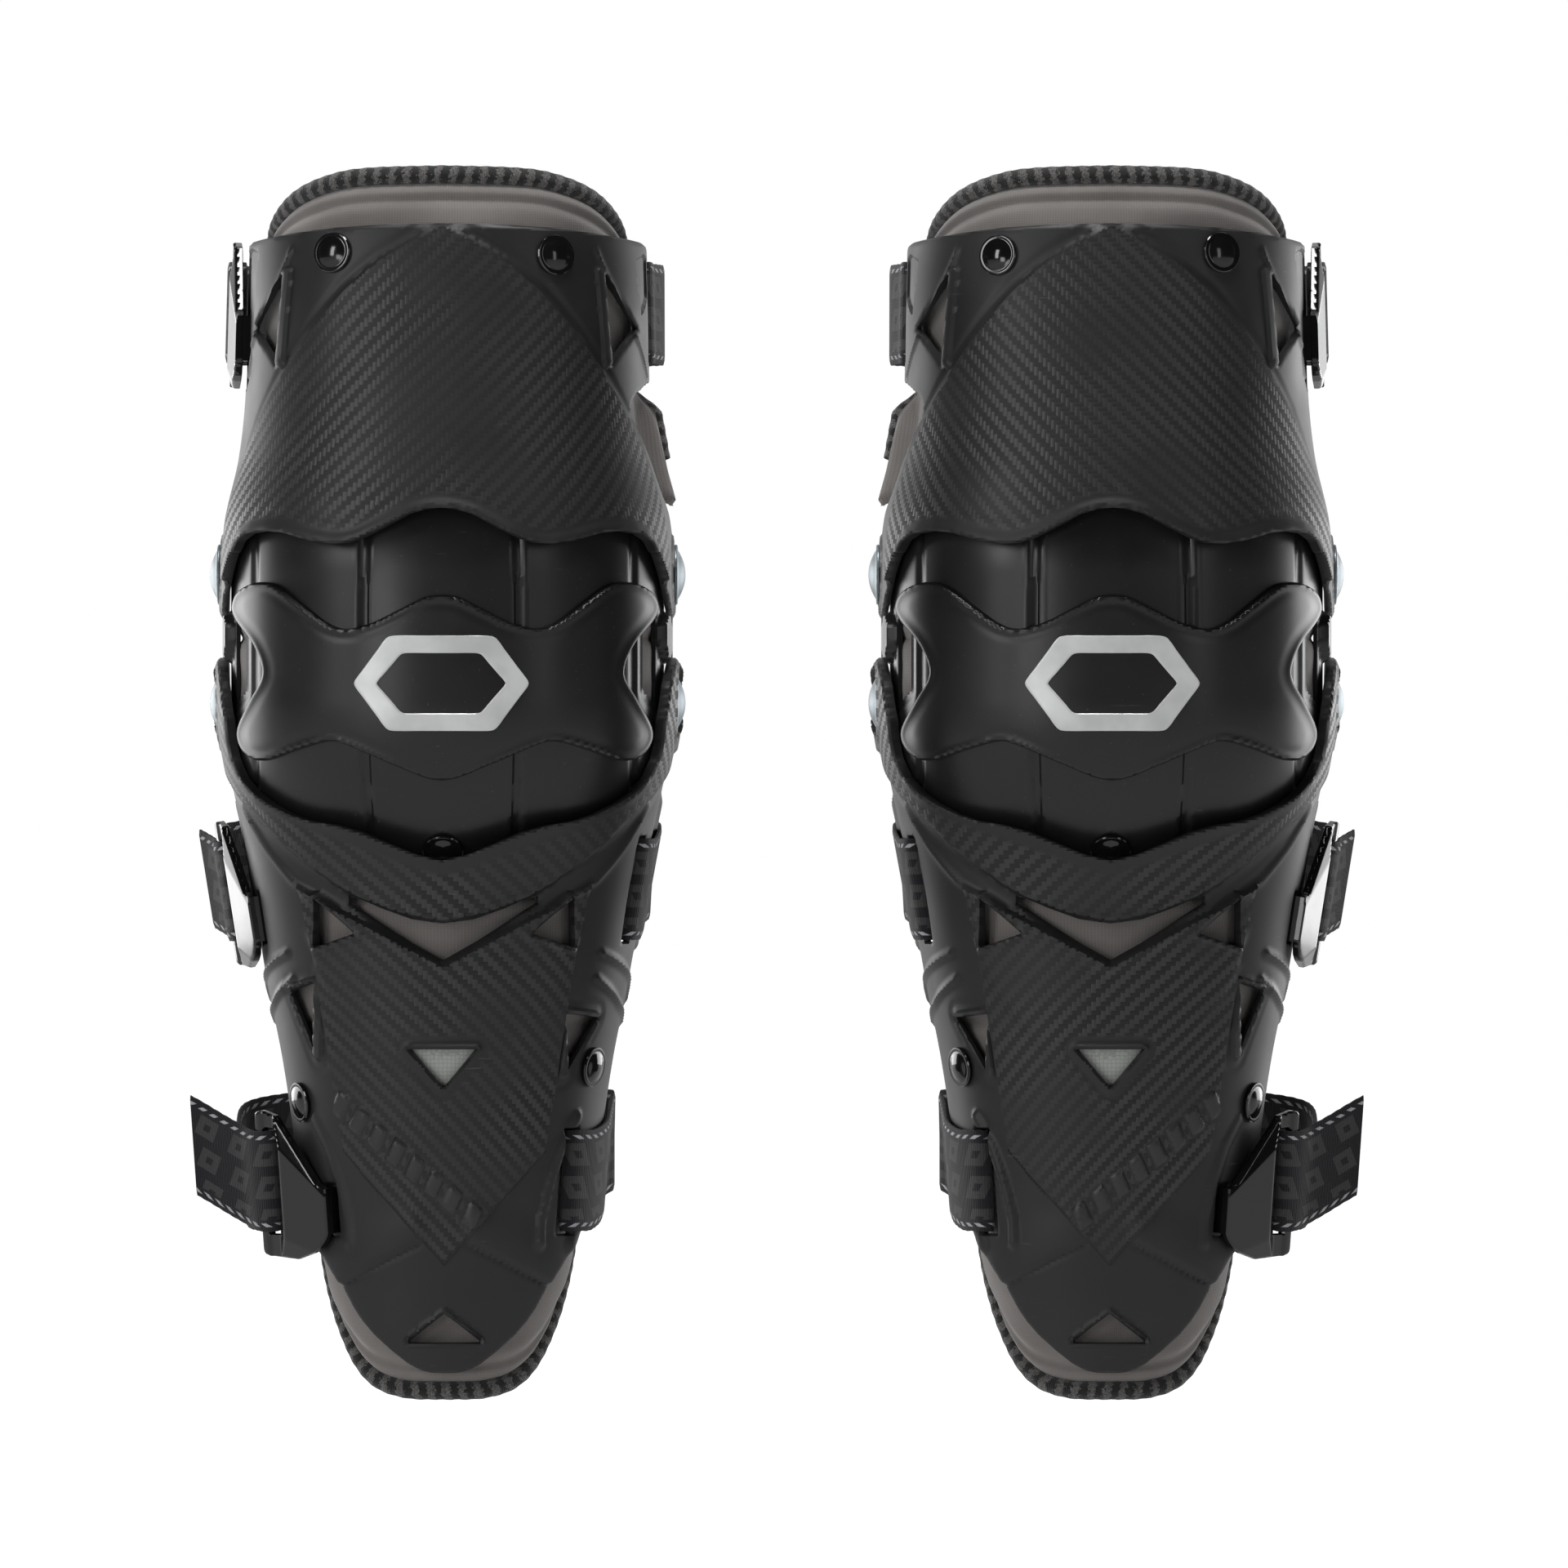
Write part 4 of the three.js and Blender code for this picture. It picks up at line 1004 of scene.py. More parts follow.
def dense(points, count):
    """The closed outline with more points on each side, leaving its corners a little round."""
    p = np.asarray(points, float)
    out = []
    for a, b in zip(p, np.roll(p, -1, axis=0)):
        for t in np.linspace(0.06, 0.94, count):
            out.append(tuple(a + (b - a) * t))
    return out


# ---- Shin shell and reflector ----

SHIN_FRONT = both([(0, 12.4), (5, 12.6), (9, 13.5), (14, 16.2), (20, 21), (27, 27.4), (31.4, 32.6),
                   (35, 38.2), (41, 50), (45, 56.4), (49.5, 63), (54, 76), (60, 92), (98, 104), (98, 300),
                   (84, 300), (83.4, 275), (82.5, 262), (80.8, 254.5), (77.5, 247.5), (72, 241.4),
                   (66, 237), (58, 232.8), (50, 230.2), (40, 228.6), (30, 225.8), (20, 221.4),
                   (10, 217.2), (0, 214.8)])
SHIN_SIDE = [(-200, 0), (-12, 0), (-6, 52), (14, 64), (16, 110), (8, 118), (10, 172), (27, 182), (27, 226),
             (9, 244), (14, 262), (17, 270), (17.5, 279), (15.6, 285.6), (12, 290.5), (6, 294), (0, 295),
             (-7, 294), (-14, 291.5), (-20.5, 288), (-26, 283), (-33, 270), (-40, 256), (-200, 256)]
CRESCENT = both([(0, 175.6), (12, 182.4), (24, 190), (36, 198), (36.4, 201.5), (31, 199.2), (24, 196),
                 (12, 191.6), (0, 190)])
UPPER_OPENING = [(33, 186), (49, 180), (49, 200.5)]
INNER_OPENING = [(46.5, 131), (59, 152.5), (46, 154.5)]
OUTER_OPENING = [(49.5, 138), (60, 163), (49, 167)]
REFLECTOR_HOLE = [(0, 125.5), (12.5, 140.5), (-12.5, 140.5)]
TOE_VENT = [(-14.5, 24.6), (14.5, 24.6), (0, 36)]
BARS = [(-41.5, 121.5), (13.5, 72)]
BAR_COUNT = 8
BAR_HALF = (3.1, 4.6)


def shin_shell():
    wall = Wall("shin", 1.36, 160, 1.2)
    line = wall.line
    lip = line(SHIN_FRONT[10:21] + [(0, 214.8)])
    bib = line([(0, 190), (3.7, 190.3), (18, 193.5), (33, 199.3), (42, 204.5), (48, 209), (56, 214.6),
                (62.8, 220.5), (74, 232), (84, 244), (98, 256), (110, 262)])
    vee = line([(0, 171.5), (30, 188.8), (44, 197), (59, 206), (70, 219), (80, 236)])
    diamond = line([(0, 174), (29, 190), (58, 206), (56, 195), (53, 185), (50, 165), (46, 140), (44, 125),
                    (40, 100), (20, 77.5), (0, 54.8)])
    crease = line([(0, 117), (9, 124), (28, 142), (45, 163), (57, 192), (66, 226), (72, 236)])
    whole_crescent = line(CRESCENT[:9]) + [(-60, 190), (-60, 175.6)]
    windows = [line(w) for w in (UPPER_OPENING, INNER_OPENING, OUTER_OPENING)]
    steps = [line([(62, 178), (72, 166), (80, 158)]), line([(60, 168), (68, 158), (76, 150)])]
    toe_arc = line([(9, 64), (20, 58.5), (30, 53), (40, 47.5), (50, 43)])
    ankle = line([(37, 64), (38, 74), (42, 90), (46, 102), (52, 113)])
    reflect = line(REFLECTOR_HOLE[:2] + [(0, 140.5)])
    toe_vent = line([(0, 24.6), (14.5, 24.6), (0, 36)])

    def field(base, t):
        x, y, z = base.T
        d = np.minimum(inside(x, z, SHIN_FRONT), inside(y, z, SHIN_SIDE))
        openings = ((x, CRESCENT), (x, REFLECTOR_HOLE), (x, TOE_VENT), (np.abs(x), UPPER_OPENING),
                    (x, INNER_OPENING), (-x, OUTER_OPENING))
        for way, opening in openings:
            d = np.where(y < 0, np.minimum(d, -inside(way, z, opening)), d)
        return np.minimum(d, shell_holes(base, "shin", ["calf", "ankle"], LOWER_AXIS_Z))

    whole_bib = bib + [(300, 262), (300, 320), (-80, 320), (-80, 190)]
    whole_diamond = diamond + [(-80, 54.8), (-80, 174)]
    whole_crease = crease + [(72, 300), (-80, 300), (-80, 117)]
    whole_hole = reflect + [(-40, 140.5), (-40, 125.5)]
    whole_vent = toe_vent + [(-40, 36), (-40, 24.6)]

    def frames(s, a, z):
        """Distance outside the lower opening, the upper one, the reflector's and the toe vent."""
        lower = np.where(s > 0, -inside(a, z, windows[1]), -inside(a, z, windows[2]))
        return lower, -inside(a, z, windows[0]), -inside(a, z, whole_hole), -inside(a, z, whole_vent)

    def creases(base, s):
        x, y, z = base.T
        a = np.abs(s)
        lower, upper_hole, hole, vent = frames(s, a, z)
        face = inside(a, z, whole_diamond)
        bars = np.where(y < 0, bar_depth(x, z), -9.0)
        return [(face, (0.0, 1.2)), (hole, (1.4, 2.6)), (np.where(face < 0, lower, 50.0), (1.5, 2.9)),
                (upper_hole, (1.3, 2.5)), (vent, (1.3, 2.5)), (bars, (0.0, 1.0)),
                (inside(a, z, whole_bib), (0.0, 1.2))]

    def outer(base, t):
        x, y, z = base.T
        s = wall.round(t)
        a = np.abs(s)
        upper = inside(a, z, whole_bib)
        out = SHELL + bevel(upper, 0.0, 1.2, 1.7) - ridge(np.abs(upper + 2.6), 1.2, 0.4, 1.2)
        low = line_distance(a, z, lip)
        out += 1.4 * ease(5.5, 0.5, low)
        face = inside(a, z, whole_diamond)
        out += bevel(face, 0.0, 1.2, 1.5)
        out += ridge(line_distance(a, z, vee), 1.2, 1.5, 1.4) * ease(2, 0, upper)
        above = inside(a, z, whole_crease)
        out += raised(above, 0.5, 0.9) * ease(0, 6, 190 - z)
        lower, upper_hole, hole, vent = frames(s, a, z)
        clear = ease(0.3, -1.4, face)
        out += clear * (bevel(-lower, -2.9, -1.5, 1.7) - ridge(np.abs(lower - 5.4), 1.0, 0.4, 1.2))
        out += bevel(-upper_hole, -2.5, -1.3, 1.0)
        out += ridge(np.abs(-inside(a, z, whole_crescent) - 2.0), 0.6, 0.4, 1.0)
        for step in steps:
            out += ridge(line_distance(a, z, step), 1.0, 1.4, 1.4)
        out += bevel(-hole, -2.6, -1.4, 1.1) - ridge(np.abs(hole - 4.2), 0.5, 0.4, 1.0)
        arc = line_distance(a, z, toe_arc)
        below = ease(1.0, -1.0, z - np.interp(a, *zip(*toe_arc)))
        near_toe = ease(90, 70, z)
        collar = near_toe * (1 - below) * ease(6, 14, a)
        out += collar * 1.6 * ease(24, 4, arc) - near_toe * ridge(arc, 0.8, 1.1, 1.2) * ease(5, 12, a)
        out += bevel(-vent, -2.5, -1.3, 1.0)
        boss = ridge(line_distance(a, z, ankle), 2.2, 2.0, 1.3)
        out += np.where(x > 0, boss, boss * 0.35)
        out += bevel(bar_depth(x, z), 0.0, 1.0, 1.1) * (y < 0)
        return fastener_seats(out, base, t, "shin", LOWER_AXIS_Z)

    def paint(base):
        a, z = wall.from_middle(base), base[:, 2]
        upper, face = inside(a, z, whole_bib), inside(a, z, whole_diamond)
        low = line_distance(a, z, lip)
        hole = -inside(a, z, whole_hole)
        woven = np.maximum(ease(1.0, 2.0, upper) * ease(5, 7, low),
                           ease(0.8, 1.8, face) * ease(4.5, 5.5, hole))
        bars = ease(-0.4, 0.2, bar_depth(base[:, 0], z)) * (base[:, 1] < 0)
        return woven * (1 - bars) - bars

    return skin("shin", wall.turns, np.arange(8.5, 297, 1.2), field, outer, 0.0, rim=1.1, paint=paint,
                creases=(wall, creases))


def bar_depth(x, z):
    """How far inside a slanting row of plain raised bars a place is."""
    (ax, az), (bx, bz) = BARS
    size = math.hypot(bx - ax, bz - az)
    ux, uz = (bx - ax) / size, (bz - az) / size
    along = (x - ax) * ux + (z - az) * uz
    across = -(x - ax) * uz + (z - az) * ux
    lean = along + 0.35 * across
    pitch = size / BAR_COUNT
    cell = np.floor(lean / pitch)
    half_wide, half_high = BAR_HALF
    beside_bar = np.abs(lean - (cell + 0.5) * pitch) - half_wide
    return -np.maximum.reduce([beside_bar, np.abs(across) - half_high, -along, along - size])


def reflector():
    wall = Wall("shin", 0.34, 132, 0.8)
    outline = [(0, 121.5), (17, 142.5), (-17, 142.5)]

    def field(base, t):
        return inside(base[:, 0], base[:, 2], outline)

    def outer(base, t):
        return np.full(len(base), -0.35)

    return skin("shin", wall.turns, np.arange(120.5, 144, 0.8), field, outer, -1.6, rim=0.3)


# ---- Liners and bindings ----

def edge_at(edges, turn, column):
    return hermite(edges[:, 0], edges[:, column], np.abs(turn))


def flare(section, turn, z):
    """How far the rear of the thigh liner stands off, more on the inner side."""
    if section != "thigh":
        return 0.0
    reach = np.where(turn > 0, 12.5, 5.0)
    return reach * ease(1.13, 1.27, np.abs(turn)) * ease(405, 392, z)


def wrinkle(s, z, seed, size):
    """Soft folds, from 0 at rest to about 1."""
    rng = np.random.default_rng(seed)
    total = np.zeros(np.shape(s))
    for _ in range(9):
        angle, phase = rng.uniform(-0.5, 0.5), rng.uniform(0, 6.28)
        wave = size * rng.uniform(0.6, 1.6)
        total += np.sin((s * math.sin(angle) + z * math.cos(angle)) * 2 * math.pi / wave + phase)
    return total / 6


def pad(section, turn, low, top, gap, thickness, seams, folds, seed):
    """A soft closed pad behind a wall, thin at its edges and drawn in along its seams."""
    half = thickness / 2
    wall = Wall(section, turn, float(np.mean([low(0.0), top(0.0)])), 1.7)
    turns = wall.turns
    shares = np.linspace(0, 1, int(np.max(top(turns) - low(turns)) / 1.7) + 1)
    shares = 0.5 - 0.5 * np.cos(math.pi * (0.08 + 0.84 * shares)) / math.cos(math.pi * 0.08)
    tt, ss = np.meshgrid(turns, np.clip(shares, 0, 1))
    zz = low(tt) + (top(tt) - low(tt)) * ss
    t, z, s = tt.ravel(), zz.ravel(), wall.round(tt.ravel())
    rows, columns = tt.shape
    rim = np.concatenate([np.arange(columns), np.arange(1, rows) * columns + columns - 1,
                          (rows - 1) * columns + np.arange(columns - 2, -1, -1),
                          np.arange(rows - 2, 0, -1) * columns])
    border_line = list(zip(s[rim][::3], z[rim][::3]))
    d = line_distance(s, z, border_line, True)
    body = np.sqrt(1 - (1 - np.clip(d / 7.0, 0.004, 1)) ** 2)
    drawn = np.zeros(len(s))
    for seam in seams:
        drawn = np.maximum(drawn, np.exp(-(line_distance(s, z, seam) / 2.0) ** 2))
    soft = wrinkle(s, z, seed, 24.0) * folds
    front = half * body * (1 - 0.42 * drawn) + body * soft
    back = half * body * (1 - 0.3 * drawn) + body * wrinkle(s, z, seed + 1, 30.0) * folds
    centre = flare(section, t, z) - gap - half
    outer_points = on(section, t, z, centre + front)
    inner_points = on(section, t, z, centre - back)
    n = len(s)
    faces = []
    for r in range(rows - 1):
        for c in range(columns - 1):
            i = r * columns + c
            faces.append((i, i + 1, i + 1 + columns, i + columns))
    quads = list(faces)
    faces += [tuple(v + n for v in reversed(q)) for q in quads]
    faces += [(a, a + n, b + n, b) for a, b in border(quads)]
    flat = np.stack([s, z, np.zeros(n)], 1)
    return Built(np.concatenate([outer_points, inner_points]), faces, weave=np.concatenate([flat, flat]))


def thigh_liner():
    low = lambda t: edge_at(THIGH_LINER, t, 1)
    top = lambda t: edge_at(THIGH_LINER, t, 2)
    wall = Wall("thigh", 1.27, 440, 1.7)
    hem = [(wall.round(t), float(top(t)) - 6.5) for t in np.linspace(-1.2, 1.2, 49)]
    rear = [[(wall.round(sign * 1.04), 366.0), (wall.round(sign * 1.0), 428.0)] for sign in (-1, 1)]
    return pad("thigh", 1.27, low, top, LINER_GAP, LINER, [hem] + rear, 0.55, 11)


def shin_liner():
    low = lambda t: edge_at(SHIN_LINER, t, 1)
    top = lambda t: edge_at(SHIN_LINER, t, 2)
    wall = Wall("shin", 1.27, 104, 1.7)
    hem = [(wall.round(t), float(low(t)) + 6.5) for t in np.linspace(-1.2, 1.2, 61)]
    cross = [[(-200.0, 150.0), (200.0, 150.0)], [(-200.0, 95.0), (200.0, 95.0)]]
    return pad("shin", 1.27, low, top, LINER_GAP, LINER, [hem] + cross, 0.6, 23)


def knee_liner():
    """The pad in the cup, its two ears pushed out towards the side plates."""
    low = lambda t: 232.0 + 56.0 * ease(0.82, 0.92, np.abs(t))
    top = lambda t: 372.0 - 56.0 * ease(0.82, 0.92, np.abs(t))
    seams = [[(-200.0, z), (200.0, z)] for z in (268.0, 302.5, 337.0)]
    built = pad("knee", 1.04, low, top, KNEE_LINER_GAP, KNEE_LINER, seams, 0.5, 37)
    x, y = built.verts[:, 0], built.verts[:, 1]
    ear = ease(60, 72, np.abs(x)) * ease(76.5, 78.5, np.abs(x)) * ease(20, 8, np.abs(y + 18))
    built.verts[:, 0] += np.sign(x) * 0.75 * ear
    return built


def binding(section, edges, column):
    """The cord round a liner's upper edge, which is column 2, or its lower edge, which is column 1."""
    end = edges[-1, 0]
    sign = 1 if column == 2 else -1
    depth = LINER_GAP + LINER / 2
    fine = np.linspace(-end, end, 1201)

    def edge(turn):
        z = edge_at(edges, turn, column)
        return on(section, turn, z, flare(section, turn, z) - depth)

    path = edge(fine)
    run = distances(path)
    turns = np.interp(np.linspace(0, run[-1], int(run[-1] / 1.5)), run, fine)
    z = edge_at(edges, turns, column)
    along = unit(edge(turns + 0.01) - edge(turns - 0.01))
    offset = flare(section, turns, z) - depth
    up_the_wall = on(section, turns, z + 1, offset) - on(section, turns, z - 1, offset)
    round_it = on(section, turns + 0.004, z, offset) - on(section, turns - 0.004, z, offset)
    normal = unit(np.cross(round_it, up_the_wall))
    away = sign * unit(np.cross(normal, along))
    centre = edge(turns) + away * 3.4
    s = np.linspace(0, run[-1], len(turns))
    sides = 18
    angles = np.linspace(0, 2 * math.pi, sides, endpoint=False) + math.pi
    radius = 3.75 + 0.12 * np.sin(s * 2 * math.pi / STRIPE_PITCH)[:, None, None]
    rings = centre[:, None] + radius * (np.cos(angles)[None, :, None] * away[:, None]
                                        + np.sin(angles)[None, :, None] * normal[:, None])
    cord = np.zeros((len(turns), sides, 3))
    cord[..., 0] = s[:, None]
    cord[..., 1] = np.linspace(0, 1, sides, endpoint=False)[None]
    return ring_mesh(rings, cord=cord.reshape(-1, 3))


# ---- Straps, clips and fasteners ----

def centripetal(points, per_span=40):
    """Dense samples of a centripetal Catmull-Rom curve."""
    p = np.asarray(points, float)
    p = np.concatenate([[2 * p[0] - p[1]], p, [2 * p[-1] - p[-2]]])
    out = []
    for i in range(1, len(p) - 2):
        a, b, c, d = p[i - 1:i + 3]
        t0 = 0.0
        t1 = t0 + max(np.linalg.norm(b - a), 1e-6) ** 0.5
        t2 = t1 + max(np.linalg.norm(c - b), 1e-6) ** 0.5
        t3 = t2 + max(np.linalg.norm(d - c), 1e-6) ** 0.5
        t = np.linspace(t1, t2, per_span, endpoint=False)[:, None]
        a1 = (t1 - t) / (t1 - t0) * a + (t - t0) / (t1 - t0) * b
        a2 = (t2 - t) / (t2 - t1) * b + (t - t1) / (t2 - t1) * c
        a3 = (t3 - t) / (t3 - t2) * c + (t - t2) / (t3 - t2) * d
        b1 = (t2 - t) / (t2 - t0) * a1 + (t - t0) / (t2 - t0) * a2
        b2 = (t3 - t) / (t3 - t1) * a2 + (t - t1) / (t3 - t1) * a3
        out.append((t2 - t) / (t2 - t1) * b1 + (t - t1) / (t2 - t1) * b2)
    out.append(p[-2][None])
    return np.concatenate(out)


def beside(seat, s, n, share):
    point, tangent, normal, up = seat
    return point + tangent * s + normal * n + up * (share * STRAP_WIDTH / 2)


# The loose end's course past the clip: distance along, distance out, and height.
TAILS = {
    "thigh": [(8, 4.9, 0), (16, 5.6, 0)],
    "calf": [(8, 5.2, 1), (16, 6.4, 3), (22, 8.2, 5)],
    "ankle": [(8, 5.4, 2), (17, 6.8, 6), (26, 9.4, 11), (31, 11.6, 14)],
}


def strap_path(section, name, share):
    """The webbing's middle line at a share of its width, on the side where x is positive up to the clip."""
    strap = STRAPS[name]
    z = strap["z"] + share * STRAP_WIDTH / 2
    out = SHELL + 1.8
    seat = pivot_frame(section, strap)

    def along(mm, offset):
        first = on(section, strap["slot"], z, offset)
        per_turn = np.linalg.norm(on(section, strap["slot"] + 0.01, z, offset) - first) / 0.01
        return on(section, strap["slot"] + mm / per_turn, z, offset)

    turns = [t for t in (0.85, 0.95, 1.05, 1.3) if t > strap["slot"] + 0.2 or t > 1.2]
    half, back, rise = strap["half"], strap["back"], strap["rise"]
    end = beside(seat, CLIP["length"] + 10, SHELL / 2 + CLIP["lift"] - 1, share)
    flip = np.array([-1.0, 1.0, 1.0])
    inside_n = SHELL / 2 + CLIP["lift"] - 1.7
    outside_n = SHELL / 2 + CLIP["lift"] + CLIP["thickness"] + 1.7
    band = [along(19, -2.1), along(7, -2.1), along(1.6, -1), along(0, SHELL / 2), along(1.6, SHELL + 1),
            along(7, out), along(14, out)]
    band += [on(section, t, z + rise * ease(strap["slot"] + 0.1, 1.5, t), out) for t in turns]
    up = z + rise
    band += [np.array([half * 0.97, back * 0.62, up]), np.array([half * 0.72, back * 0.87, up]),
             np.array([0, back, up]), np.array([-half * 0.72, back * 0.87, up]),
             np.array([-max(end[0], half * 0.95), max(end[1] + 8, back * 0.6), z + rise * 0.7]), end * flip]
    start = CLIP["slot"][0]
    loop = [(CLIP["length"] - 1, inside_n), (start + 3.2, inside_n + 1.2),
            (start + 2.2, (inside_n + outside_n) / 2), (start + 3.2, outside_n - 1.2),
            (CLIP["length"] - 1, outside_n)]
    band += [beside(seat, s, n, share) * flip for s, n in loop]
    band += [(beside(seat, CLIP["length"] + s, n, share) + (0, 0, lift)) * flip
             for s, n, lift in TAILS[name]]
    return band


def strap(section, name):
    low, high = (centripetal(strap_path(section, name, share)) for share in (-1, 1))
    middle = (low + high) / 2
    run = distances(middle)
    stops = np.linspace(0, run[-1], int(run[-1] / 1.6))
    low, high = (np.stack([np.interp(stops, run, side[:, k]) for k in range(3)], 1) for side in (low, high))
    middle = (low + high) / 2
    tangent = unit(np.gradient(middle, axis=0))
    across = unit(high - low)
    normal = unit(np.cross(tangent, across))
    width = np.linalg.norm(high - low, axis=1)[:, None]
    columns = 19
    v = np.linspace(-1, 1, columns)
    half = 0.95 * np.where(np.abs(v) > 0.98, 0.45, 1.0)
    scallop = 0.12 * np.sin(stops * 2 * math.pi / 2.4)[:, None]
    rings, marks = [], []
    for sign, order in ((1, range(columns)), (-1, reversed(range(columns)))):
        for k in order:
            edge = v[k] * (width / 2 + (scallop if abs(v[k]) > 0.98 else 0))
            rings.append(middle + across * edge + normal * sign * half[k])
            even = np.ones(len(stops))
            marks.append(np.stack([stops, even * v[k] * STRAP_WIDTH / 2, even * sign], 1))
    rings, marks = np.stack(rings, 1), np.stack(marks, 1)
    return ring_mesh(rings, strap=marks.reshape(-1, 3))


def clip(section, name):
    """A faceted plate swept down to its hook, with a window for the webbing."""
    seat = mirror_frame(pivot_frame(section, STRAPS[name]))
    near = SHELL / 2 + CLIP["lift"]
    length, thick = CLIP["length"], CLIP["thickness"]
    tall = STRAP_WIDTH / 2
    first, last = CLIP["slot"]
    half = HOOK["thickness"] / 2
    low_u, top_u = HOOK["low"], HOOK["top"]
    outline = [(-half, low_u), (0, low_u - 2), (3, -tall - 6), (8, -tall - 8.4), (17, -tall - 11),
               (length - 4, -tall - 10), (length - 1, -tall - 9), (length, -tall - 6), (length, tall + 5),
               (length - 1, tall + 7.4), (length - 4, tall + 8), (first - 1, tall + 6), (first - 5, tall + 1),
               (3, top_u + 2), (-half, top_u)]
    window = [(first, -tall - 1), (last, -tall - 1), (last, tall + 1), (first, tall + 1)]

    def field(s, u):
        return np.minimum(inside(s, u, outline), -inside(s, u, window))

    step = 0.7
    uv, faces = grid_cut(np.arange(-2, length + 1.5, step), np.arange(-32, 29.5, step), field)
    s, u = uv[:, 0], uv[:, 1]
    rim = 0.7
    d = np.clip(1 - np.maximum(field(s, u), 0) / rim, 0, 1)
    rounding = rim * (1 - np.sqrt(1 - d ** 2))
    diagonal = ((s - 3) * 21.5 - (u + 0.5) * 17.5) / 27.7
    even = np.ones(len(s))
    roof = np.minimum.reduce([0.42 * (diagonal + 0.6), 0.36 * (u + 30.5), 0.5 * (first - s + 0.4), even * 3])
    blade = np.minimum.reduce([0.1 * s + 0.4, 0.3 * (u + 31)])
    bar = np.minimum.reduce([0.8 * (s - last + 0.2), 0.8 * (length - s), even * 0.9])
    relief = np.where(s < first + 0.3, np.maximum(np.minimum(roof, blade), 0), np.maximum(bar, 0))
    top = near + thick + relief - rounding
    under = near + rounding * 0.5
    point, tangent, normal, up = seat
    flat = lambda n: point + s[:, None] * tangent + u[:, None] * up + np.asarray(n)[:, None] * normal
    count = len(uv)
    plate = Built(np.concatenate([flat(top), flat(under)]),
                  faces + [tuple(v + count for v in reversed(f)) for f in faces]
                  + [(a, a + count, b + count, b) for a, b in border(faces)])
    low = -SHELL / 2 - HOOK["inside"]
    rings = []
    for n, grow in ((low, -0.3), (low + 0.4, 0.0), (near + 0.6, 0.0), (near + 1.0, -0.1)):
        corners = [(-half - grow, low_u - grow), (half + grow, low_u - grow), (half + grow, top_u + grow),
                   (-half - grow, top_u + grow)]
        rings.append([point + a * tangent + b * up + n * normal for a, b in corners])
    return joined(plate, ring_mesh(np.array(rings)))


def joined(first, second):
    count = len(first.verts)
    return Built(np.concatenate([first.verts, second.verts]),
                 first.faces + [tuple(v + count for v in f) for f in second.faces])


def cap_profile(shank, washer, cap, height, grip, washer_height):
    """Inner washer, shank and domed cap with a rolled rim."""
    seat = 0.35
    low = -grip - seat - washer_height
    profile = [(0, low), (washer - 0.4, low), (washer, low + 0.4), (washer, -grip - seat),
               (shank, -grip - seat), (shank, seat), (cap - 0.3, seat), (cap, seat + 0.35),
               (cap, seat + 0.8), (cap - 0.35, seat + 1.2), (cap - 0.9, seat + 1.3),
               (cap - 1.4, seat + 1.18), (cap - 1.7, seat + 1.22)]
    inner = cap - 2.0
    for share in np.linspace(1, 0, 9):
        profile.append((inner * share, seat + 1.25 + (height - 1.25) * (1 - share ** 2)))
    return profile


def snap(name):
    point, _, normal, _ = snap_seat(name)
    profile = cap_profile(shank=2.4, washer=4.5, cap=SNAP_CAP, height=2.7, grip=SHELL + 0.6,
                          washer_height=1.2)
    return lathe(profile, (point, normal), 56)


def rivet(sign, z):
    arm = float(SECTION["thigh"](UPPER_AXIS_Z, SHELL)[0])
    grip = arm - CUP_SIZE + SHELL + 0.6
    seat = (np.array([sign * arm, 0, z]), np.array([sign, 0.0, 0.0]))
    profile = cap_profile(shank=3.0, washer=7.0, cap=RIVET_CAP, height=4.4, grip=grip, washer_height=1.5)
    return lathe(profile, seat, 72)


# ---- The pair ----

thigh_plastic = moulded_material("thigh_twill_plastic", -1)
shin_plastic = moulded_material("shin_twill_plastic", 1)
satin = satin_material()
gloss = gloss_material()
cloth = cloth_material()
cord_cloth = binding_material()
elastic = webbing_material()
zinc = rivet_material()
silver = print_material()
reflective = reflector_material()

BEND_RUN = np.array([22.5, 19.8, 0.0])
SHAPES = [
    ("thigh_shell", thigh_shell(), thigh_plastic, "thigh", "shell"),
    ("shin_shell", shin_shell(), shin_plastic, "shin", "shell"),
    ("knee_cup", knee_cup(), satin, "knee", "cup"),
    ("knee_band", knee_band(), satin, "knee", "shell"),
    ("knee_emblem", knee_emblem(), silver, "knee", "print"),
    ("shin_reflector", reflector(), reflective, "shin", "reflector"),
    ("thigh_binding", binding("thigh", THIGH_LINER, 2), cord_cloth, "thigh", "binding"),
    ("shin_binding", binding("shin", SHIN_LINER, 1), cord_cloth, "shin", "binding"),
]
for name, (section, _, _) in SNAPS.items():
    SHAPES.append((name, snap(name), gloss, section, "gloss"))
for height, z in (("upper", UPPER_AXIS_Z), ("lower", LOWER_AXIS_Z)):
    for where, sign in (("outer", -1), ("inner", 1)):
        SHAPES.append((f"{height}_rivet_{where}", rivet(sign, z), zinc, "knee", "rivet"))

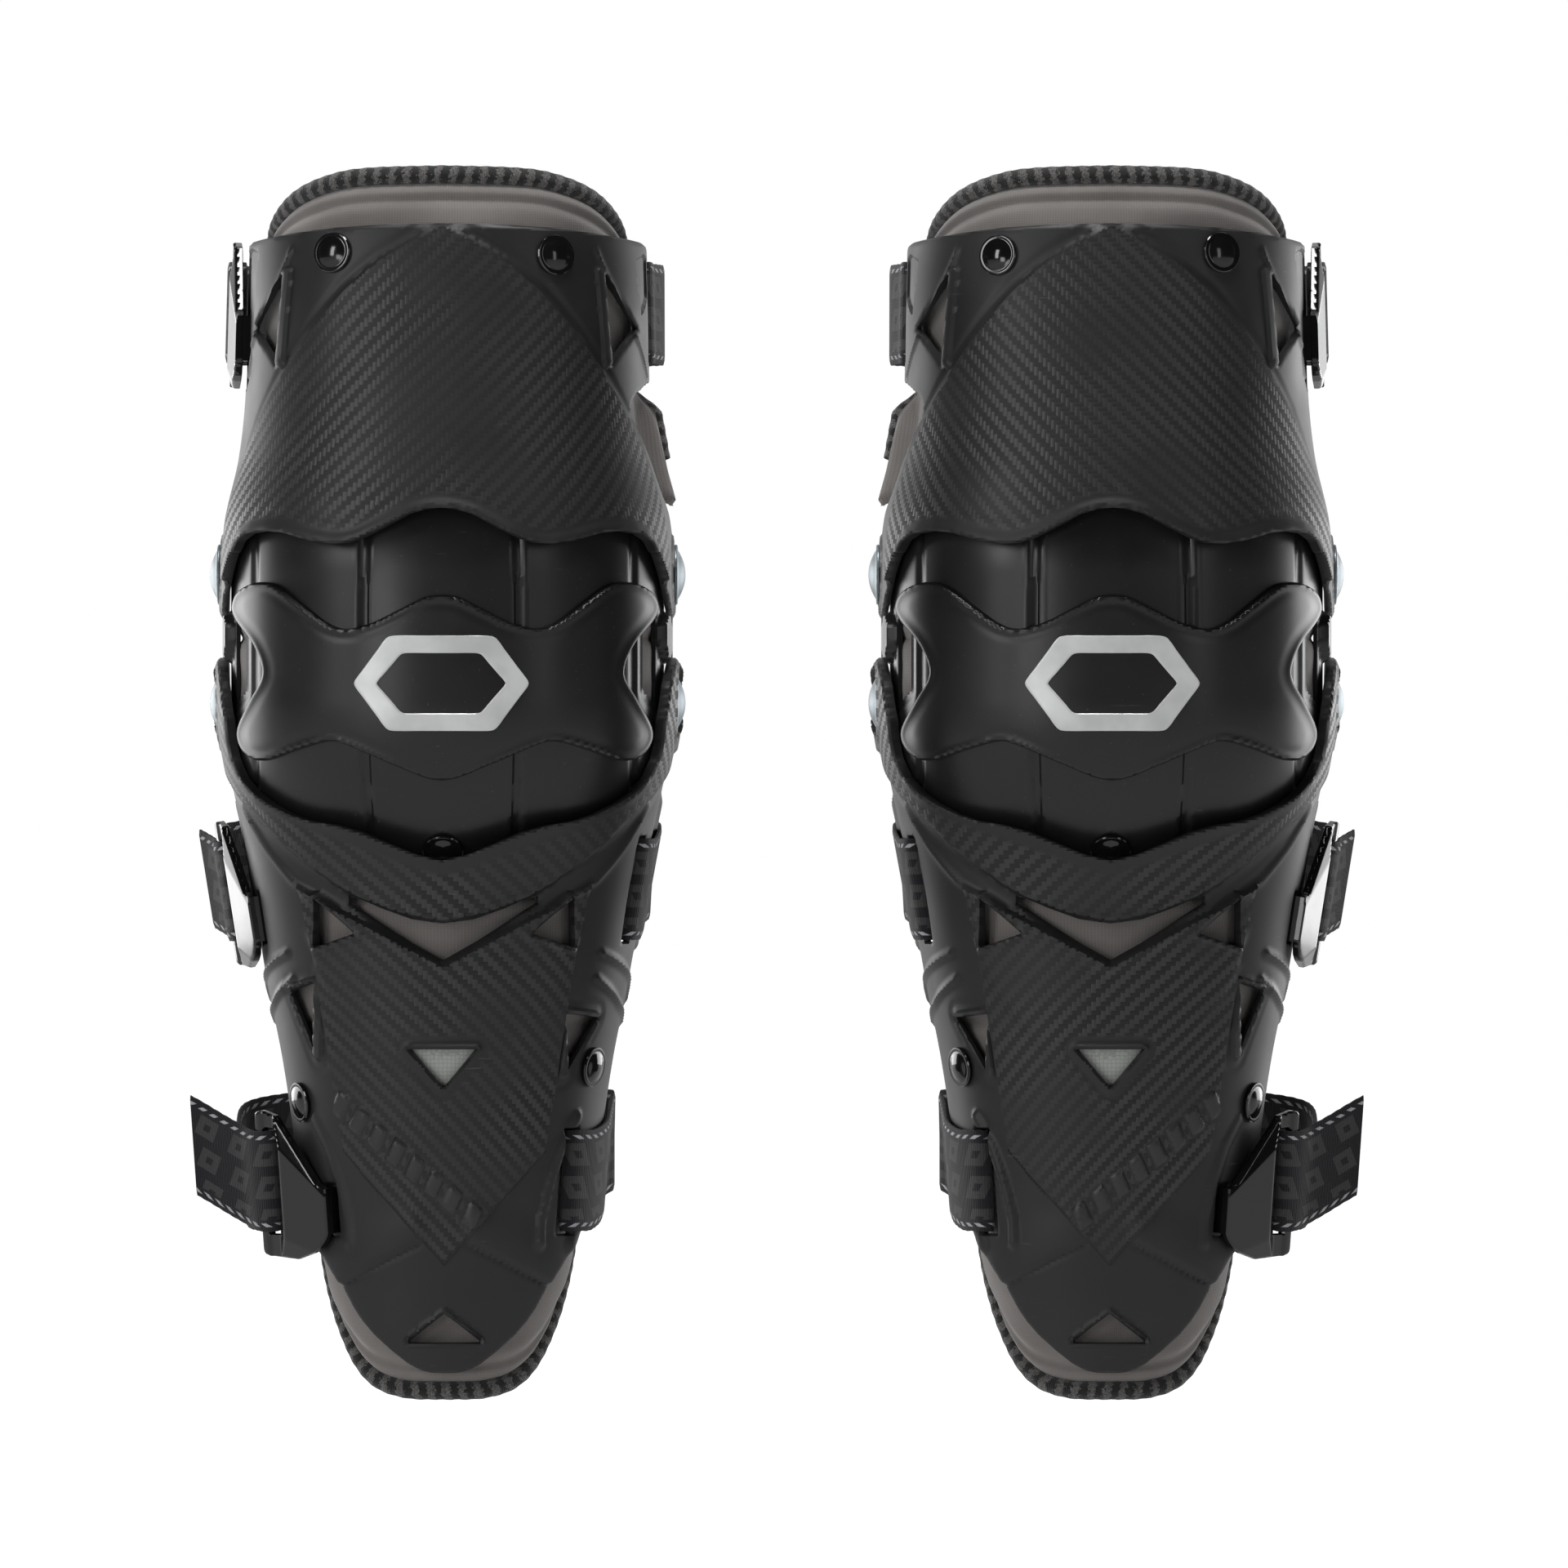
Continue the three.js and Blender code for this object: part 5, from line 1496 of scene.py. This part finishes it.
for side in ("right", "left"):
    for name, built, material, body, finish in SHAPES:
        make(name, built, side, material, body, [name], finish)
    pads = [("thigh_liner", thigh_liner(), "thigh"), ("knee_liner", knee_liner(), "knee"),
            ("shin_liner", shin_liner(), "shin")]
    for name, built, body in pads:
        make(name, built, side, cloth, body, [name], "liner", 60.0)
    for name in STRAPS:
        section = "thigh" if name == "thigh" else "shin"
        hook = f"{name}_clip"
        make(hook, clip(section, name), side, gloss, hook, [hook], "gloss", 25.0)
        webbing = make(f"{name}_strap", strap(section, name), side, elastic, None,
                       [f"{name}_strap", f"{name}_strap_loop"], "webbing", 60.0)
        bar = beside(mirror_frame(pivot_frame(section, STRAPS[name])), CLIP["length"] + 2, 0.0, 0.0)
        start, end = (tuple(placed(point, side) * MM) for point in (bar + BEND_RUN, bar))
        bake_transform(webbing, f"{side}_{section}", f"{side}_{hook}", start=start, end=end)


# ---- Floor, light and camera, in metres ----

LAMPS = {
    "key": dict(at=(-1.7, -1.6, 1.1), towards=(-0.02, 0, 0.26), size=(0.5, 1.2), power=14),
    "fill": dict(at=(1.5, -1.9, 0.9), towards=(0.02, 0, 0.24), size=(0.4, 1.2), power=3),
    "top": dict(at=(0.0, -0.35, 1.9), towards=(0, 0, 0.25), size=(0.8, 0.4), power=20),
    "low": dict(at=(-1.1, -2.3, 0.35), towards=(0, 0, 0.14), size=(0.6, 0.6), power=5),
    "left_rim": dict(at=(-1.15, 0.85, 0.3), towards=(0, 0, 0.13), size=(1.1, 0.55), power=7),
    "right_rim": dict(at=(1.15, 0.85, 0.3), towards=(0, 0, 0.13), size=(1.1, 0.55), power=6.5),
}


def add(name, data):
    thing = bpy.data.objects.new(name, data)
    bpy.context.scene.collection.objects.link(thing)
    return thing


def lamp(name, at, towards, size, power):
    data = bpy.data.lights.new(name, "AREA")
    data.energy = power
    data.shape = "RECTANGLE"
    data.size, data.size_y = size
    lamp_object = add(name, data)
    lamp_object.location = at
    aim = mathutils.Vector(np.subtract(towards, at))
    lamp_object.rotation_euler = aim.to_track_quat("-Z", "Y").to_euler()


def floor():
    """A wide pale disc that looks white and gives back a soft light."""
    mesh = bpy.data.meshes.new("floor")
    count, radius = 128, 12.0
    angles = [2 * math.pi * i / count for i in range(count)]
    verts = [(0, 0, 0)] + [(radius * math.cos(angle), radius * math.sin(angle), 0) for angle in angles]
    mesh.from_pydata(verts, [], [(0, 1 + i, 1 + (i + 1) % count) for i in range(count)])
    m = Nodes("pale_floor")
    m.finish(m.mix(m.noise(3.0, 2.0), (0.24, 0.24, 0.24), (0.26, 0.26, 0.26)), 0.9)
    m.shader.inputs["Emission Color"].default_value = (1, 1, 1, 1)
    seen = m.node("ShaderNodeLightPath").outputs["Is Camera Ray"]
    m.put(m.shader.inputs["Emission Strength"], m.mix_value(seen, 0.45, 0.95))
    mesh.materials.append(m.material)
    disc = add("floor", mesh)
    disc.location.z = -0.0012


def studio():
    """A room that is white to the camera, and lights the guards most from behind and low down."""
    world = bpy.data.worlds.new("studio")
    bpy.context.scene.world = world
    world.use_nodes = True
    nodes, links = world.node_tree.nodes, world.node_tree.links
    direction = nodes.new("ShaderNodeSeparateXYZ")
    links.new(nodes.new("ShaderNodeTexCoord").outputs["Generated"], direction.inputs[0])
    shade = nodes.new("ShaderNodeMath")
    shade.operation = "MULTIPLY"
    ramps = (("Y", (0.2, 0.85, 0.035, 1.5)), ("Z", (-0.1, 0.5, 1.0, 0.35)))
    for factor, (axis, limits) in zip(shade.inputs, ramps):
        ramp = nodes.new("ShaderNodeMapRange")
        links.new(direction.outputs[axis], ramp.inputs["Value"])
        for key, value in zip(("From Min", "From Max", "To Min", "To Max"), limits):
            ramp.inputs[key].default_value = value
        links.new(ramp.outputs[0], factor)
    strength = nodes.new("ShaderNodeMix")
    links.new(nodes.new("ShaderNodeLightPath").outputs["Is Camera Ray"], strength.inputs[0])
    links.new(shade.outputs[0], strength.inputs[2])
    strength.inputs[3].default_value = 1.0
    nodes["Background"].inputs["Color"].default_value = (1, 1, 1, 1)
    links.new(strength.outputs[0], nodes["Background"].inputs["Strength"])


floor()
studio()
for name, settings in LAMPS.items():
    lamp(name, **settings)

camera = add("camera", bpy.data.cameras.new("camera"))
camera.data.sensor_width = 36.0
camera.data.lens = 259.6
camera.location = (0.0028, -4.5, 0.2447)
camera.rotation_euler = (math.pi / 2, 0, 0)
camera.data.clip_end = 60.0
bpy.context.scene.camera = camera
bpy.context.scene.view_settings.view_transform = "Standard"
